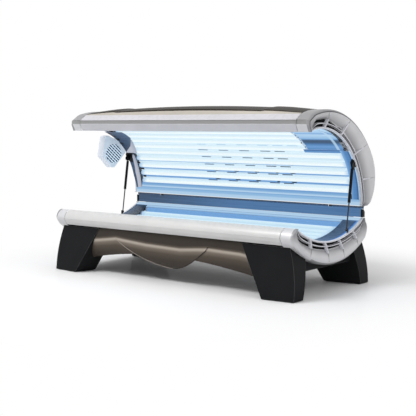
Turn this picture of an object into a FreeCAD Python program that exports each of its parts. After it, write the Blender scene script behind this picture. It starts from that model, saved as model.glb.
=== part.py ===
"""Clamshell tanning bed: a tub on two leg saddles, and a canopy that swings on a rear hinge.

Millimetres. +X runs along the bed towards the head end, +Y to the back, +Z up.
The drawing is made about the middle of the feet, and every piece is then moved by datum_y,
so that the origin lies on the floor under the middle of the opened bed.
"""
import FreeCAD
import Part
import math
import os

# ---------------------------------------------------------------- length
seam_x = 1040.0           # half length of the rails, pan and cover between the end mouldings
end_x = 1150.0            # outer face of the end mouldings
lip_x = 1120.0            # inner side of the end mouldings' rim lip, where the clear sheets stop
sheet_gap = 0.5           # running gap between a clear sheet or panel and what borders it
skin = 4.0                # wall of the mouldings
metal = 3.0               # wall of the pan, cover and rails

# ---------------------------------------------------------------- tub section (Y, Z)
bench_rim_z = 490.788     # height of the bench's long edges
bench_r = 881.0           # round face that the user lies on
bench_half_y = 452.0      # half width of the bench between the rails
bench_sheet_t = 5.0
belly_y = 21.0            # axis of the belly's round underside
belly_foot_z = 196.0      # lowest line of the tub
belly_r = 812.0
tub_back_room = 56.7830   # back wall of the tub behind the bench's long edge
belly_back_r = 100.0
belly_top_r = 72.0
belly_top_end = 60.0
rail_top_step = (-14.0, -4.2)       # steps (Y, Z) from the bench's front edge
rail_shoulder_step = (-48.0, -28.2)
rail_nose_step = (-65.0, -65.2)
rail_lip_step = (-53.0, -92.2)
belly_front_step = -34.0

# ---------------------------------------------------------------- canopy section (Y, Z)
hinge_to_heel = 37.0      # the round inner face ends this far ahead of the hinge
dome_z = 582.0            # axis height of the canopy's round inner face
dome_r = 568.0
dome_sheet_t = 3.0
dome_rail_top = 6.5       # angle of the top edge of the lower inner rail
crown_back = 81.0         # axis of the canopy's outer face behind the inner one's
crown_z = 530.0
crown_depth = 186.0       # outer face from the inner one, by radius
crown_rise = 34.0         # how much fuller the cover is at the middle of its length
crown_front = 104.2       # angle where the cover meets its front strip
crown_end = 33.0
back_r = 290.0
back_end = -36.0
heel_r = 70.0
heel_width = 78.0         # flat underside behind the inner face
brow_angle = 106.26       # angle of the inner face's front end
brow_bottom_step = (-5.0, 1.7)      # steps (Y, Z) from that front end
brow_chin_step = (-33.0, 53.7)
brow_ridge_step = (-31.0, 84.7)
brow_top_step = (32.0, 124.7)
groove = 6.0              # depth of the recessed band in the front of the canopy rail
groove_margin = 3.0

# ---------------------------------------------------------------- hinge and struts
hinge_y = 464.0
hinge_z = 592.0
hinge_x = 850.0
hinge_drop = 15.0         # lowest line of the opened canopy below the hinge
hinge_pin_r = 8.0
hinge_fit = 0.05          # radial running clearance of the pins
hinge_eye_r = 14.0
hinge_plate_t = 8.0
hinge_side_gap = 1.0
strut_x = 1116.0
strut_low_y = 240.0
strut_low_lift = 18.6795  # lower pivot above the bench's round face
strut_top_angle = 33.6    # top pivot on the canopy's round face
strut_top_inset = 24.1
strut_tube_r = 11.0
strut_bore_r = 8.0
strut_rod_r = 5.0
strut_rod_fit = 0.05
strut_eye_r = 10.0
strut_eye_t = 12.0
strut_stud_r = 4.5
strut_neck = 24.5         # from the tube's end to the top pivot
strut_shown_rod = 198.0   # rod outside the tube in the opened pose
strut_piston_length = 20.0
strut_open_play = 1.0     # side gap at the pivot that is left open
strut_shield_r = 21.0     # round end of the canopy's strut bracket

# ---------------------------------------------------------------- lamps
lamp_r = 19.0             # 38 mm tubes
lamp_wall = 1.0
lamp_cap = 14.0
lamp_to_sheet = 6.0
lamp_to_reflector = 8.0
reflector_t = 1.5
holder_r = 12.0
holder_length = 22.0
bench_lamp_half = 985.0
bench_lamp_pitch = 71.0
bench_lamp_count = 13
dome_lamp_half = 1058.0
dome_reflector_half = 1084.0
dome_lamp_pitch = 6.85    # degrees
dome_lamp_first = 10.0
dome_lamp_count = 13
dome_long_lamps = 6       # the others stop at the facial lamps
dome_short_end = 728.0    # head end of the shorter tubes
slot_length = 100.0       # air slots in the canopy's reflector
slot_width = 9.0
slot_starts = (-310.0, -105.0, 98.0, 302.0, 440.0)
slot_rows = 6

# ---------------------------------------------------------------- facial tanner
face_x0 = 756.0
face_x1 = 1085.0
face_low = 46.5           # degrees on the canopy's round face
face_high = 97.0
face_glass_t = 4.0
face_box_depth = 50.0
face_lamp_r = 8.0
face_lamp_length = 120.0

# ---------------------------------------------------------------- legs
foot_front_in = (909.0, -536.0)    # corners of a front foot on the floor: X, Y
foot_front_out = (1152.0, -512.0)
foot_rear_out = (1152.0, -396.0)
foot_rear_in = (866.0, -352.0)
leg_top_z = 372.0
leg_front_in = (690.0, -470.0)     # corners of the same leg at its top
leg_front_out = (1090.0, -470.0)
leg_rear_out = (1090.0, -300.0)
leg_rear_in = (640.0, -300.0)
leg_wall = 6.0
leg_bulge = 20.0          # how far the outer edge stands out of its straight line
glide_t = 4.0
glide_inset = 14.0
saddle_x0 = 800.0
saddle_x1 = 1085.0
saddle_z = 176.0          # underside of the beam between a front and a rear leg
saddle_half = 332.0       # the beam's lower corners lie inside the legs
saddle_top_half = 420.0
leg_bolt_r = 6.0
leg_bolt_head_r = 10.0
leg_bolt_head = 7.0
leg_bolt_x = 960.0
leg_bolt_y = 110.0

# ---------------------------------------------------------------- valance
valance_half = 862.0
valance_top = (-462.0, 372.0)
valance_ridge = (-475.0, 290.0)
valance_foot = (-407.0, 104.0)
valance_t = 3.0
pan_front_y = -456.0      # the pan starts behind the valance
arch_mid_z = 206.0
arch_end_z = 108.0
wave_left = (-508.0, 299.0)        # X, Z of the centre valance's corners
wave_sweep = ((-387.0, 228.0), (-205.0, 150.0))
wave_tip = (21.0, 107.0)
wave_rise = ((150.0, 136.0), (265.0, 194.0))
wave_right = (401.0, 293.0)

# ---------------------------------------------------------------- frame and inner parts
tube = 40.0
tube_wall = 2.5
base_tube_off = 300.0     # frame tubes from the belly's axis
base_tube_z = 290.0
hoop_width = 30.0
hoop_depth = 28.0
base_hoop_x = (-960.0, 0.0, 960.0)
dome_hoop_x = (-900.0, 0.0, 700.0)
dome_hoop_gap = 14.0      # from the reflector's back to the hoops
rear_tube_back = 26.0     # centre of the canopy's rear tube from the hinge
rear_tube_rise = 40.0
strip_y = 452.0
strip_t = 4.0
strip_top_z = 560.0       # the canopy's heel comes down to 562 above the strip when closed
strip_foot_z = 494.0
cap_width = 16.0
cap_depth = 24.0
cap_slope = 20.0
cap_drop = 6.0            # top of the caps below the strip's top
lip_back = 2.5            # sealing lip under the canopy's rear rail, behind the strip
lip_t = 2.0
lip_lap = 4.0             # how far the lip laps behind the strip
strip_trim = 2.0          # strip ends from the mouldings' lips
ballast_size = (150.0, 70.0, 45.0)
base_ballast_x = (-640.0, -460.0, -280.0)
ballast_y = 60.0
fan_x = 450.0
fan_r = 78.0
fan_hub_r = 26.0
fan_depth = 36.0
fan_frame = 190.0
fan_tip_gap = 4.0
fan_blades = 5
blade_t = 3.0

# ---------------------------------------------------------------- body fan at the foot end
pod_angle = 55.3          # place of the louvre's centre on the canopy's round face
pod_inset = 144.7
pod_steps = ((-96.0, 144.0), (-62.0, 154.0), (66.0, 104.0), (146.0, 2.0),
             (8.0, -120.0), (-20.0, -118.0), (-130.0, -18.0))   # corners (Y, Z) from it
pod_flange = ((50.0, 100.0), (162.0, -12.0), (260.0, 30.0), (100.0, 190.0))
pod_x0 = -1149.0
pod_x1 = -1086.0
pod_wall = 3.0
louvre_r = 82.0
louvre_bars = 6
louvre_bar = 9.0
louvre_slant = 52.0       # degrees that the bars lean from upright
pod_rotor_r = 62.0
pod_rotor_depth = 16.0

# ---------------------------------------------------------------- controls
panel_x0 = 1064.0
panel_t = 3.0
knob_angle = 49.0         # degrees on the canopy's round face
button_angle = 53.5
button_r = 7.0
button_fit = 0.3
button_proud = 2.5
button_travel = 1.5
knob_r = 11.0
knob_height = 12.0


def vec(x, y, z):
    return FreeCAD.Vector(x, y, z)


def polar(centre, radius, degrees):
    """A (y, z) point on a circle about a (y, z) centre."""
    a = math.radians(degrees)
    return (centre[0] + radius * math.cos(a), centre[1] + radius * math.sin(a))


def point(yz, x=0.0):
    return vec(x, yz[0], yz[1])


def line(p, q, x=0.0):
    return Part.LineSegment(point(p, x), point(q, x)).toShape()


def arc(centre, radius, start, end, x=0.0):
    mid = 0.5 * (start + end)
    ends = [point(polar(centre, radius, a), x) for a in (start, mid, end)]
    return Part.Arc(*ends).toShape()


def arc_through(p, q, r, x=0.0):
    return Part.Arc(point(p, x), point(q, x), point(r, x)).toShape()


def circle_through(p, q, r):
    """Centre and radius of the circle through three (y, z) points."""
    curve = Part.Arc(point(p), point(q), point(r)).toShape().Curve
    return (curve.Center.y, curve.Center.z), curve.Radius


def prism(edges, x0, x1):
    """Solid between x0 and x1 whose section is the closed outline made by the edges."""
    face = Part.Face(Part.Wire(Part.__sortEdges__(edges)))
    solid = face.extrude(vec(x1 - x0, 0, 0))
    solid.translate(vec(x0, 0, 0))
    return solid


def polygon(points, x0, x1):
    edges = [line(p, q) for p, q in zip(points, points[1:] + points[:1])]
    return prism(edges, x0, x1)


def band(centre, r0, r1, start, end, x0, x1):
    """Part of a round shell about an X axis, between two radii and two angles."""
    edges = [arc(centre, r1, start, end), arc(centre, r0, start, end)]
    edges.append(line(polar(centre, r0, start), polar(centre, r1, start)))
    edges.append(line(polar(centre, r0, end), polar(centre, r1, end)))
    return prism(edges, x0, x1)


def block(x0, x1, y0, y1, z0, z1):
    return Part.makeBox(x1 - x0, y1 - y0, z1 - z0, vec(x0, y0, z0))


def cylinder(start, direction, radius, length):
    return Part.makeCylinder(radius, length, start, direction)


def round_bar(p, q, radius):
    return Part.makeCylinder(radius, (q - p).Length, p, q - p)


def fuse(shapes):
    shapes = list(shapes)
    return shapes[0].multiFuse(shapes[1:]).removeSplitter() if len(shapes) > 1 else shapes[0]


def group(shapes):
    return Part.makeCompound(list(shapes))


def mirrored(shape):
    """The same piece for the foot end."""
    return shape.mirror(vec(0, 0, 0), vec(1, 0, 0))


X = vec(1, 0, 0)
Y = vec(0, 1, 0)
Z = vec(0, 0, 1)

def stepped(p, step):
    return (p[0] + step[0], p[1] + step[1])


bench_z = bench_rim_z + math.sqrt(bench_r ** 2 - bench_half_y ** 2)
dome_y = hinge_y - hinge_to_heel - dome_r
crown_y = dome_y + crown_back
bench_axis = (0.0, bench_z)
belly_z = belly_foot_z + belly_r
belly_end = -math.degrees(math.acos((bench_half_y + tub_back_room - belly_back_r - belly_y)
                                    / (belly_r - belly_back_r)))
belly_axis = (belly_y, belly_z)
dome_axis = (dome_y, dome_z)
crown_r = dome_r + crown_depth
canopy_floor_z = hinge_z - hinge_drop
rear_tube_y = hinge_y + rear_tube_back
rear_tube_z = hinge_z + rear_tube_rise
strip_half = lip_x - strip_trim
strut_low = (strut_low_y, bench_z - math.sqrt(bench_r ** 2 - strut_low_y ** 2) + strut_low_lift)
strut_high = polar(dome_axis, dome_r - strut_top_inset, strut_top_angle)
louvre_y, louvre_z = polar(dome_axis, dome_r - pod_inset, pod_angle)
crown_axis = (crown_y, crown_z)
bench_half_angle = math.degrees(math.asin(bench_half_y / bench_r))
bench_start = -90.0 - bench_half_angle
bench_end = -90.0 + bench_half_angle


# ---------------------------------------------------------------- outlines shared by several pieces
def belly_front_angle(inset=0.0):
    """Angle on the belly where it meets the lower lip of the front rail."""
    return -90.0 - math.degrees(math.asin((belly_y - belly_front_y) / (belly_r - inset)))


bench_front = polar(bench_axis, bench_r, bench_start)
bench_back = polar(bench_axis, bench_r, bench_end)
rail_top = stepped(bench_front, rail_top_step)
rail_shoulder = stepped(bench_front, rail_shoulder_step)
rail_nose = stepped(bench_front, rail_nose_step)
rail_lip = stepped(bench_front, rail_lip_step)
belly_front_y = bench_front[0] + belly_front_step
belly_front = polar(belly_axis, belly_r, belly_front_angle())
belly_back_axis = polar(belly_axis, belly_r - belly_back_r, belly_end)
belly_top_axis = (belly_back_axis[0] + belly_back_r - belly_top_r, belly_back_axis[1])
belly_stop = polar(belly_top_axis, belly_top_r, belly_top_end)


def belly_edges(inset=0.0):
    """Underside of the tub, from the front rail round the back to its top."""
    return [arc(belly_axis, belly_r - inset, belly_front_angle(inset), belly_end),
            arc(belly_back_axis, belly_back_r - inset, belly_end, 0.0),
            arc(belly_top_axis, belly_top_r - inset, 0.0, belly_top_end)]


def tub_section():
    """Outline of the whole tub: rail nose, belly, back, round bench face."""
    edges = [line(bench_front, rail_top), arc_through(rail_top, rail_shoulder, rail_nose)]
    edges += [line(rail_nose, rail_lip), line(rail_lip, belly_front)]
    edges += belly_edges()
    edges += [line(belly_stop, bench_back), arc(bench_axis, bench_r, bench_start, bench_end)]
    return edges


dome_low = math.degrees(math.asin((canopy_floor_z - dome_z) / dome_r))
brow_inner = polar(dome_axis, dome_r, brow_angle)
brow_bottom = stepped(brow_inner, brow_bottom_step)
brow_chin = stepped(brow_inner, brow_chin_step)
brow_ridge = stepped(brow_inner, brow_ridge_step)
brow_top = stepped(brow_inner, brow_top_step)
crown_start = polar(crown_axis, crown_r, crown_front)
dome_heel = polar(dome_axis, dome_r, dome_low)
cover_foot_y = dome_heel[0] + heel_width
canopy_rear_foot = (cover_foot_y, canopy_floor_z)


def crown_parts(inset=0.0, rise=0.0):
    """Arcs of the canopy's outer face, from its front strip round the back to its heel."""
    r = crown_r + rise
    back_axis = polar(crown_axis, r - back_r, crown_end)
    heel_axis = polar(back_axis, back_r - heel_r, back_end)
    return [(crown_axis, r - inset, crown_front, crown_end),
            (back_axis, back_r - inset, crown_end, back_end),
            (heel_axis, heel_r - inset, back_end, -90.0)]


def brow_edges():
    """Front of the canopy rail, from its bottom edge up to the cover."""
    chin = (brow_chin[0] + groove, brow_chin[1] + groove_margin)
    ridge = (brow_ridge[0] + groove, brow_ridge[1] - groove_margin)
    return [line(brow_inner, brow_bottom), line(brow_bottom, brow_chin), line(brow_chin, chin),
            line(chin, ridge), line(ridge, brow_ridge), line(brow_ridge, brow_top)]


def brow_groove(x0, x1):
    """Cutter for the recessed band in the front of the canopy rail."""
    chin = (brow_chin[0] + groove, brow_chin[1] + groove_margin)
    ridge = (brow_ridge[0] + groove, brow_ridge[1] - groove_margin)
    ahead = -2.0 * groove
    points = [brow_chin, chin, ridge, brow_ridge, (brow_ridge[0] + ahead, brow_ridge[1]),
              (brow_chin[0] + ahead, brow_chin[1])]
    return polygon(points, x0, x1)


def canopy_section():
    """Outline of the whole canopy at its ends: rail, crown, back, heel, round inner face."""
    edges = [line(brow_inner, brow_bottom), line(brow_bottom, brow_chin),
             line(brow_chin, brow_ridge), line(brow_ridge, brow_top), line(brow_top, crown_start)]
    parts = crown_parts()
    edges += [arc(*p) for p in parts]
    heel_end = polar(parts[2][0], parts[2][1], -90.0)
    edges += [line(heel_end, canopy_rear_foot), line(canopy_rear_foot, dome_heel)]
    edges += [arc(dome_axis, dome_r, dome_low, brow_angle)]
    return edges


def inset_prism(edges, inset, x0, x1):
    """The prism of an outline drawn in by inset all round."""
    face = Part.Face(Part.Wire(Part.__sortEdges__(edges)))
    smaller = face.makeOffset2D(-inset)
    solid = smaller.extrude(vec(x1 - x0, 0, 0))
    solid.translate(vec(x0, 0, 0))
    return solid


# ---------------------------------------------------------------- legs
def leg_section(z):
    """Corners of a leg at a height: straight lines from foot to top, with a bulged outer edge."""
    t = z / leg_top_z
    bulge = leg_bulge * 4.0 * t * (1.0 - t)
    pairs = ((foot_front_in, leg_front_in, 0.0), (foot_front_out, leg_front_out, bulge),
             (foot_rear_out, leg_rear_out, bulge), (foot_rear_in, leg_rear_in, 0.0))
    return [vec(a[0] + (b[0] - a[0]) * t + out, a[1] + (b[1] - a[1]) * t, z) for a, b, out in pairs]


def leg(inset=0.0):
    """Front leg of the head end; inset draws every side in, for the hollow inside."""
    wires = []
    for z in (glide_t, 0.35 * leg_top_z, 0.7 * leg_top_z, leg_top_z):
        corners = leg_section(z)
        wire = Part.makePolygon(corners + corners[:1])
        if inset > 0.0:
            wire = Part.Face(wire).makeOffset2D(-inset).OuterWire
        wires.append(wire)
    return Part.makeLoft(wires, True, False)


def tub_void(x0, x1):
    """Space of the tub above its belly, which the legs and the beam fit under."""
    edges = belly_edges()
    top_back = (belly_stop[0], bench_z)
    top_front = (belly_front[0], bench_z)
    edges += [line(belly_stop, top_back), line(top_back, top_front), line(top_front, belly_front)]
    return prism(edges, x0, x1)


def leg_saddle():
    front = leg()
    rear = front.mirror(vec(0, 0, 0), vec(0, 1, 0))
    outline = [(-saddle_top_half, leg_top_z), (-saddle_half, saddle_z), (saddle_half, saddle_z),
               (saddle_top_half, leg_top_z)]
    beam = polygon(outline, saddle_x0, saddle_x1)
    body = fuse([front, rear, beam]).cut(tub_void(0.0, 2.0 * end_x))
    rail_room = block(0.0, 2.0 * end_x, -2.0 * bench_half_y, belly_front_y + 40.0,
                      leg_top_z - 4.0, bench_z)
    body = body.cut(rail_room).cut(group(leg_bolt_holes()))
    ceiling = Part.makeCylinder(belly_r + leg_wall, 4.0 * end_x, vec(-2.0 * end_x, belly_y, belly_z), X)
    cavity = leg(leg_wall).cut(ceiling)
    cavity = cavity.cut(block(0.0, 2.0 * end_x, -2.0 * bench_half_y, 0.0, leg_top_z - 12.0, bench_z))
    return body.cut(cavity).cut(cavity.mirror(vec(0, 0, 0), vec(0, 1, 0)))


def leg_bolt_places():
    return [(leg_bolt_x, side * leg_bolt_y) for side in (-1, 1)]


def leg_bolt_holes():
    return [cylinder(vec(x, y, saddle_z - 1.0), Z, leg_bolt_r, 80.0) for x, y in leg_bolt_places()]


def leg_bolts():
    """Bolts that hold the saddles to the frame hoops, through the pan."""
    bolts = []
    for x, y in leg_bolt_places():
        head = cylinder(vec(x, y, saddle_z - leg_bolt_head), Z, leg_bolt_head_r, leg_bolt_head)
        shank = cylinder(vec(x, y, saddle_z), Z, leg_bolt_r, 60.0)
        bolts.append(head.fuse(shank))
    return group(bolts + [mirrored(b) for b in bolts])


def floor_glides():
    pads = []
    corners = [foot_front_in, foot_front_out, foot_rear_out, foot_rear_in]
    cx = sum(c[0] for c in corners) / 4.0
    cy = sum(c[1] for c in corners) / 4.0
    ring = []
    for x, y in corners:
        reach = math.hypot(x - cx, y - cy)
        share = 1.0 - glide_inset / reach
        ring.append(vec(cx + (x - cx) * share, cy + (y - cy) * share, 0.0))
    pad = Part.Face(Part.makePolygon(ring + ring[:1])).extrude(vec(0, 0, glide_t))
    for side in (pad, mirrored(pad)):
        pads += [side, side.mirror(vec(0, 0, 0), vec(0, 1, 0))]
    return group(pads)


# ---------------------------------------------------------------- base shells
def rail_outline():
    """Closed section of the lower front rail."""
    inner_top = bench_front
    inner_foot = (bench_front[0], belly_front[1])
    return [line(inner_top, rail_top), arc_through(rail_top, rail_shoulder, rail_nose),
            line(rail_nose, rail_lip), line(rail_lip, belly_front), line(belly_front, inner_foot),
            line(inner_foot, inner_top)]


def lower_front_rail():
    solid = prism(rail_outline(), -seam_x, seam_x)
    return solid.cut(inset_prism(rail_outline(), metal, -seam_x, seam_x))


def belly_pan():
    inner_stop = polar(belly_top_axis, belly_top_r - metal, belly_top_end)
    inner_front = polar(belly_axis, belly_r - metal, belly_front_angle(metal))
    edges = belly_edges() + belly_edges(metal)
    edges += [line(belly_stop, inner_stop), line(belly_front, inner_front)]
    pan = prism(edges, -seam_x, seam_x)
    ahead = block(-seam_x - 1.0, seam_x + 1.0, -2.0 * bench_half_y, pan_front_y, 0.0, bench_z)
    holes = [cylinder(vec(fan_x, belly_y, belly_z - belly_r - 20.0), Z, fan_r, 60.0)]
    holes += leg_bolt_holes() + [mirrored(h) for h in leg_bolt_holes()]
    holes.append(gland_hole())
    return pan.cut(ahead).cut(group(holes))


def intake_grille():
    """Slotted cover under the intake hole of the pan."""
    edge = fan_r + 14.0
    shell = band(belly_axis, belly_r, belly_r + metal, -105.0, -75.0, fan_x - edge, fan_x + edge)
    disc = cylinder(vec(fan_x, belly_y, belly_z - belly_r - 30.0), Z, edge, 60.0)
    grille = shell.common(disc)
    slots = []
    pitch = 16.0
    for i in range(-4, 5):
        half = math.sqrt(max(fan_r ** 2 - (abs(i) * pitch + 4.0) ** 2, 1.0))
        if half > 12.0:
            y = belly_y + i * pitch
            slots.append(block(fan_x - half, fan_x + half, y - 4.0, y + 4.0,
                               belly_z - belly_r - 30.0, belly_z - belly_r + 30.0))
    return grille.cut(group(slots))


def end_moulding(section, face_cuts, rim_axis, rim_r, rim_from, rim_to):
    """A hollow end cap: outer skin, slotted face and a lip round the opening."""
    body = prism(section, seam_x, end_x)
    body = body.makeFillet(edge_round, rounded_edges(body, rim_axis, rim_r))
    core = body_core(section)
    behind_lip = band(rim_axis, rim_r + skin, rim_r + vent_inner + 30.0, rim_from + 4.0, rim_to - 4.0,
                      seam_x, end_x - skin)
    mouth = band(rim_axis, rim_r - 2.0, rim_r + skin + 6.0, rim_from, rim_to, seam_x - 1.0, lip_x)
    return body.cut(core).cut(behind_lip).cut(mouth).cut(group(face_cuts))


edge_round = 26.0
short_step = 10.0


def is_outer(edge, axis, radius):
    """True for an edge that isn't on the round opening."""
    mid = edge.valueAt(0.5 * (edge.FirstParameter + edge.LastParameter))
    return abs(math.hypot(mid.y - axis[0], mid.z - axis[1]) - radius) > 0.5


def rounded_edges(body, axis, radius):
    """Outer edges of a moulding's end face, without a flat underside and short steps."""
    floor = body.BoundBox.ZMin
    at_end = [e for e in body.Edges if e.BoundBox.XMin > end_x - 0.01]
    return [e for e in at_end if e.Length > short_step and e.BoundBox.ZMax > floor + 1.0
            and is_outer(e, axis, radius)]


def body_core(section):
    """Room inside a moulding that stays clear of its rounded outer edge."""
    full = inset_prism(section, skin, seam_x, end_x - edge_round)
    tip = inset_prism(section, edge_round * 0.55, end_x - edge_round, end_x - skin)
    return full.fuse(tip)


# slots of the end mouldings: a row of bays between ribs, split by a thin mid ring
def vent_windows(axis, radius, bays, inner_step, outer_step, rib, mid_ring):
    """Openings in a moulding's face: bays are pairs of angles, radii count from the rim."""
    cuts = []
    for start, end in bays:
        for r0, r1 in ((inner_step, inner_step + 0.42 * (outer_step - inner_step) - mid_ring),
                       (inner_step + 0.42 * (outer_step - inner_step), outer_step)):
            ra = radius + r0
            margin = math.degrees(0.5 * rib / ra)
            cuts.append(band(axis, ra, radius + r1, start + margin, end - margin,
                             end_x - 2.0 * skin, end_x + 1.0))
    return cuts


rib_t = 9.0
mid_ring_t = 7.0
vent_inner = 10.0
base_vent_outer = 80.0
base_bays = ((-116.5, -108.0), (-108.0, -94.6), (-94.6, -82.4), (-82.4, -70.0), (-70.0, -64.0))
canopy_vent_outer = 62.0
canopy_bays = ((86.0, 102.0), (63.5, 86.0), (40.0, 63.5), (18.5, 40.0))


def base_end_moulding():
    cuts = vent_windows(bench_axis, bench_r, base_bays, vent_inner, base_vent_outer,
                        rib_t, mid_ring_t)
    return end_moulding(tub_section(), cuts, bench_axis, bench_r, bench_start - 1.0, bench_end + 1.0)


def canopy_end_moulding():
    cuts = vent_windows(dome_axis, dome_r, canopy_bays, vent_inner, canopy_vent_outer,
                        rib_t, mid_ring_t)
    body = end_moulding(canopy_section(), cuts, dome_axis, dome_r, dome_low - 4.0, brow_angle + 1.0)
    return body.cut(brow_groove(seam_x - 1.0, lip_x))


screen_t = 3.0


def vent_screen(axis, radius, depth, start, end):
    """Black screen behind the slots of an end moulding."""
    return band(axis, radius + vent_inner - 4.0, radius + depth + 4.0, start, end,
                end_x - skin - screen_t - 0.3, end_x - skin - 0.3)


# ---------------------------------------------------------------- base inner parts
sheet_trim = 0.5          # degrees left free along a clear sheet's long edges


def bench_sheet():
    return band(bench_axis, bench_r, bench_r + bench_sheet_t, bench_start + sheet_trim,
                bench_end - sheet_trim,
                -lip_x + sheet_gap, lip_x - sheet_gap)


panel_under = 1.0


def bench_end_panel():
    r = bench_r + bench_sheet_t + panel_under
    return band(bench_axis, r, r + reflector_t, bench_start + 3.0, bench_end - 2.0,
                bench_lamp_half - 5.0, lip_x - sheet_gap)


bench_lamp_r = bench_r + bench_sheet_t + panel_under + reflector_t + lamp_to_sheet + lamp_r
bench_reflector_r = bench_lamp_r + lamp_r + lamp_to_reflector


def lamp_angles(count, middle, pitch):
    return [middle + pitch * (i - 0.5 * (count - 1)) for i in range(count)]


def lamp(centre, x0, x1):
    tube_shape = cylinder(vec(x0, centre[0], centre[1]), X, lamp_r, x1 - x0)
    bore = cylinder(vec(x0 + lamp_cap, centre[0], centre[1]), X, lamp_r - lamp_wall,
                    x1 - x0 - 2.0 * lamp_cap)
    return tube_shape.cut(bore)


def holder(centre, x_tip, side):
    """Lamp socket that takes the end of a tube and stands on the reflector."""
    start = vec(x_tip, centre[0], centre[1])
    return cylinder(start, vec(side, 0, 0), holder_r, holder_length)


def bench_lamp_places():
    pitch = math.degrees(bench_lamp_pitch / bench_lamp_r)
    return [polar(bench_axis, bench_lamp_r, a) for a in lamp_angles(bench_lamp_count, -90.0, pitch)]


def bench_lamps():
    return group(lamp(c, -bench_lamp_half, bench_lamp_half) for c in bench_lamp_places())


def socket_leg(centre, axis, r_end, x_tip, side):
    """Foot of a lamp socket, from the socket out to the reflector."""
    dy, dz = centre[0] - axis[0], centre[1] - axis[1]
    reach = math.hypot(dy, dz)
    x = x_tip + side * 0.5 * holder_length
    start = vec(x, centre[0], centre[1])
    return cylinder(start, vec(0, dy, dz), 7.0, r_end - reach)


def holder_set(centre, axis, r_end, tips):
    shapes = []
    for x_tip, side in tips:
        shapes.append(fuse([holder(centre, x_tip, side), socket_leg(centre, axis, r_end, x_tip, side)]))
    return shapes


def bench_lamp_holders():
    shapes = []
    for c in bench_lamp_places():
        shapes += holder_set(c, bench_axis, bench_reflector_r,
                             ((-bench_lamp_half, -1), (bench_lamp_half, 1)))
    cutter = Part.makeCylinder(bench_reflector_r, 4.0 * end_x, vec(-2.0 * end_x, 0.0, bench_z), X)
    return group(s.common(cutter) for s in shapes)


def bench_reflector():
    half_turn = bench_half_angle - 2.5
    return band(bench_axis, bench_reflector_r, bench_reflector_r + reflector_t,
                -90.0 - half_turn, -90.0 + half_turn, -seam_x + 2.0, seam_x - 2.0)


def base_frame():
    shapes = []
    for side in (-1, 1):
        y = belly_y + side * base_tube_off
        outer = block(-seam_x + 6.0, seam_x - 6.0, y - tube / 2, y + tube / 2,
                      base_tube_z - tube / 2, base_tube_z + tube / 2)
        inner = block(-seam_x + 5.0, seam_x - 5.0, y - tube / 2 + tube_wall,
                      y + tube / 2 - tube_wall, base_tube_z - tube / 2 + tube_wall,
                      base_tube_z + tube / 2 - tube_wall)
        shapes.append((outer, inner))
    reach = math.degrees(math.asin(base_tube_off / (belly_r - metal)))
    hoops = [band(belly_axis, belly_r - metal - hoop_depth, belly_r - metal, -90.0 - reach,
                  -90.0 + reach, x - hoop_width / 2, x + hoop_width / 2) for x in base_hoop_x]
    body = fuse([s[0] for s in shapes] + hoops)
    for _, inner in shapes:
        body = body.cut(inner)
    holes = leg_bolt_holes() + [mirrored(h) for h in leg_bolt_holes()]
    return body.cut(group(holes))


def belly_room(depth):
    """Cylinder that fits inside the pan, drawn in by depth."""
    return Part.makeCylinder(belly_r - metal - depth, 4.0 * end_x, vec(-2.0 * end_x, belly_y, belly_z), X)


def base_ballasts():
    shapes = []
    w, d, h = ballast_size
    floor_z = belly_z - belly_r
    for x in base_ballast_x:
        for y in (belly_y - ballast_y, belly_y + ballast_y):
            body = block(x - w / 2, x + w / 2, y - d / 2, y + d / 2, floor_z, floor_z + metal + h)
            shapes.append(body.common(belly_room(0.0)))
    return group(shapes)


def fan_blades_shape(centre, axis, radius, depth, hub):
    """Rotor: a hub and flat pitched blades about an axis through centre."""
    hub_shape = cylinder(centre - axis * (depth / 2), axis, hub, depth)
    blades = []
    for i in range(fan_blades):
        blade = Part.makeBox(radius - hub + 4.0, blade_t, depth * 1.15,
                             vec(hub - 4.0, -blade_t / 2, -depth * 0.575))
        blade.rotate(vec(0, 0, 0), X, 42.0)
        blade.rotate(vec(0, 0, 0), Z, 360.0 * i / fan_blades)
        blades.append(blade)
    rotor = fuse(blades)
    rotor = rotor.common(Part.makeCylinder(radius, depth, vec(0, 0, -depth / 2)))
    rotor.rotate(vec(0, 0, 0), vec(0, 0, 1).cross(axis) if axis.cross(Z).Length > 1e-6 else X,
                 math.degrees(Z.getAngle(axis)))
    rotor.translate(centre)
    return fuse([rotor, hub_shape])


fan_z = belly_z - belly_r + metal + 34.0
shaft_r = 4.0
shaft_fit = 0.05
motor_r = 24.0
motor_length = 26.0
spoke_t = 6.0


def base_fan_housing():
    half = fan_frame / 2
    top = fan_z + fan_depth / 2 + 4.0
    body = block(fan_x - half, fan_x + half, belly_y - half, belly_y + half, belly_z - belly_r, top)
    body = body.common(belly_room(0.0))
    bore = cylinder(vec(fan_x, belly_y, belly_z - belly_r - 10.0), Z, fan_r, 200.0)
    body = body.cut(bore)
    spokes = [block(fan_x - fan_r - 2.0, fan_x + fan_r + 2.0, belly_y - spoke_t / 2,
                    belly_y + spoke_t / 2, top - 6.0, top),
              block(fan_x - spoke_t / 2, fan_x + spoke_t / 2, belly_y - fan_r - 2.0,
                    belly_y + fan_r + 2.0, top - 6.0, top)]
    motor = cylinder(vec(fan_x, belly_y, top - 6.0), Z, motor_r, motor_length)
    shaft = cylinder(vec(fan_x, belly_y, fan_z - fan_depth / 2 + 4.0), Z, shaft_r,
                     top - 6.0 - fan_z + fan_depth / 2 - 3.0)
    return fuse([body] + spokes + [motor, shaft])


def base_fan_rotor():
    rotor = fan_blades_shape(vec(fan_x, belly_y, fan_z - 2.0), Z, fan_r - fan_tip_gap,
                             fan_depth - 8.0, fan_hub_r)
    return rotor.cut(cylinder(vec(fan_x, belly_y, fan_z - 100.0), Z, shaft_r + shaft_fit, 200.0))


gland_x = -900.0
gland_z = 400.0
gland_r = 16.0
gland_bore = 8.0
gland_length = 30.0


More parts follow.
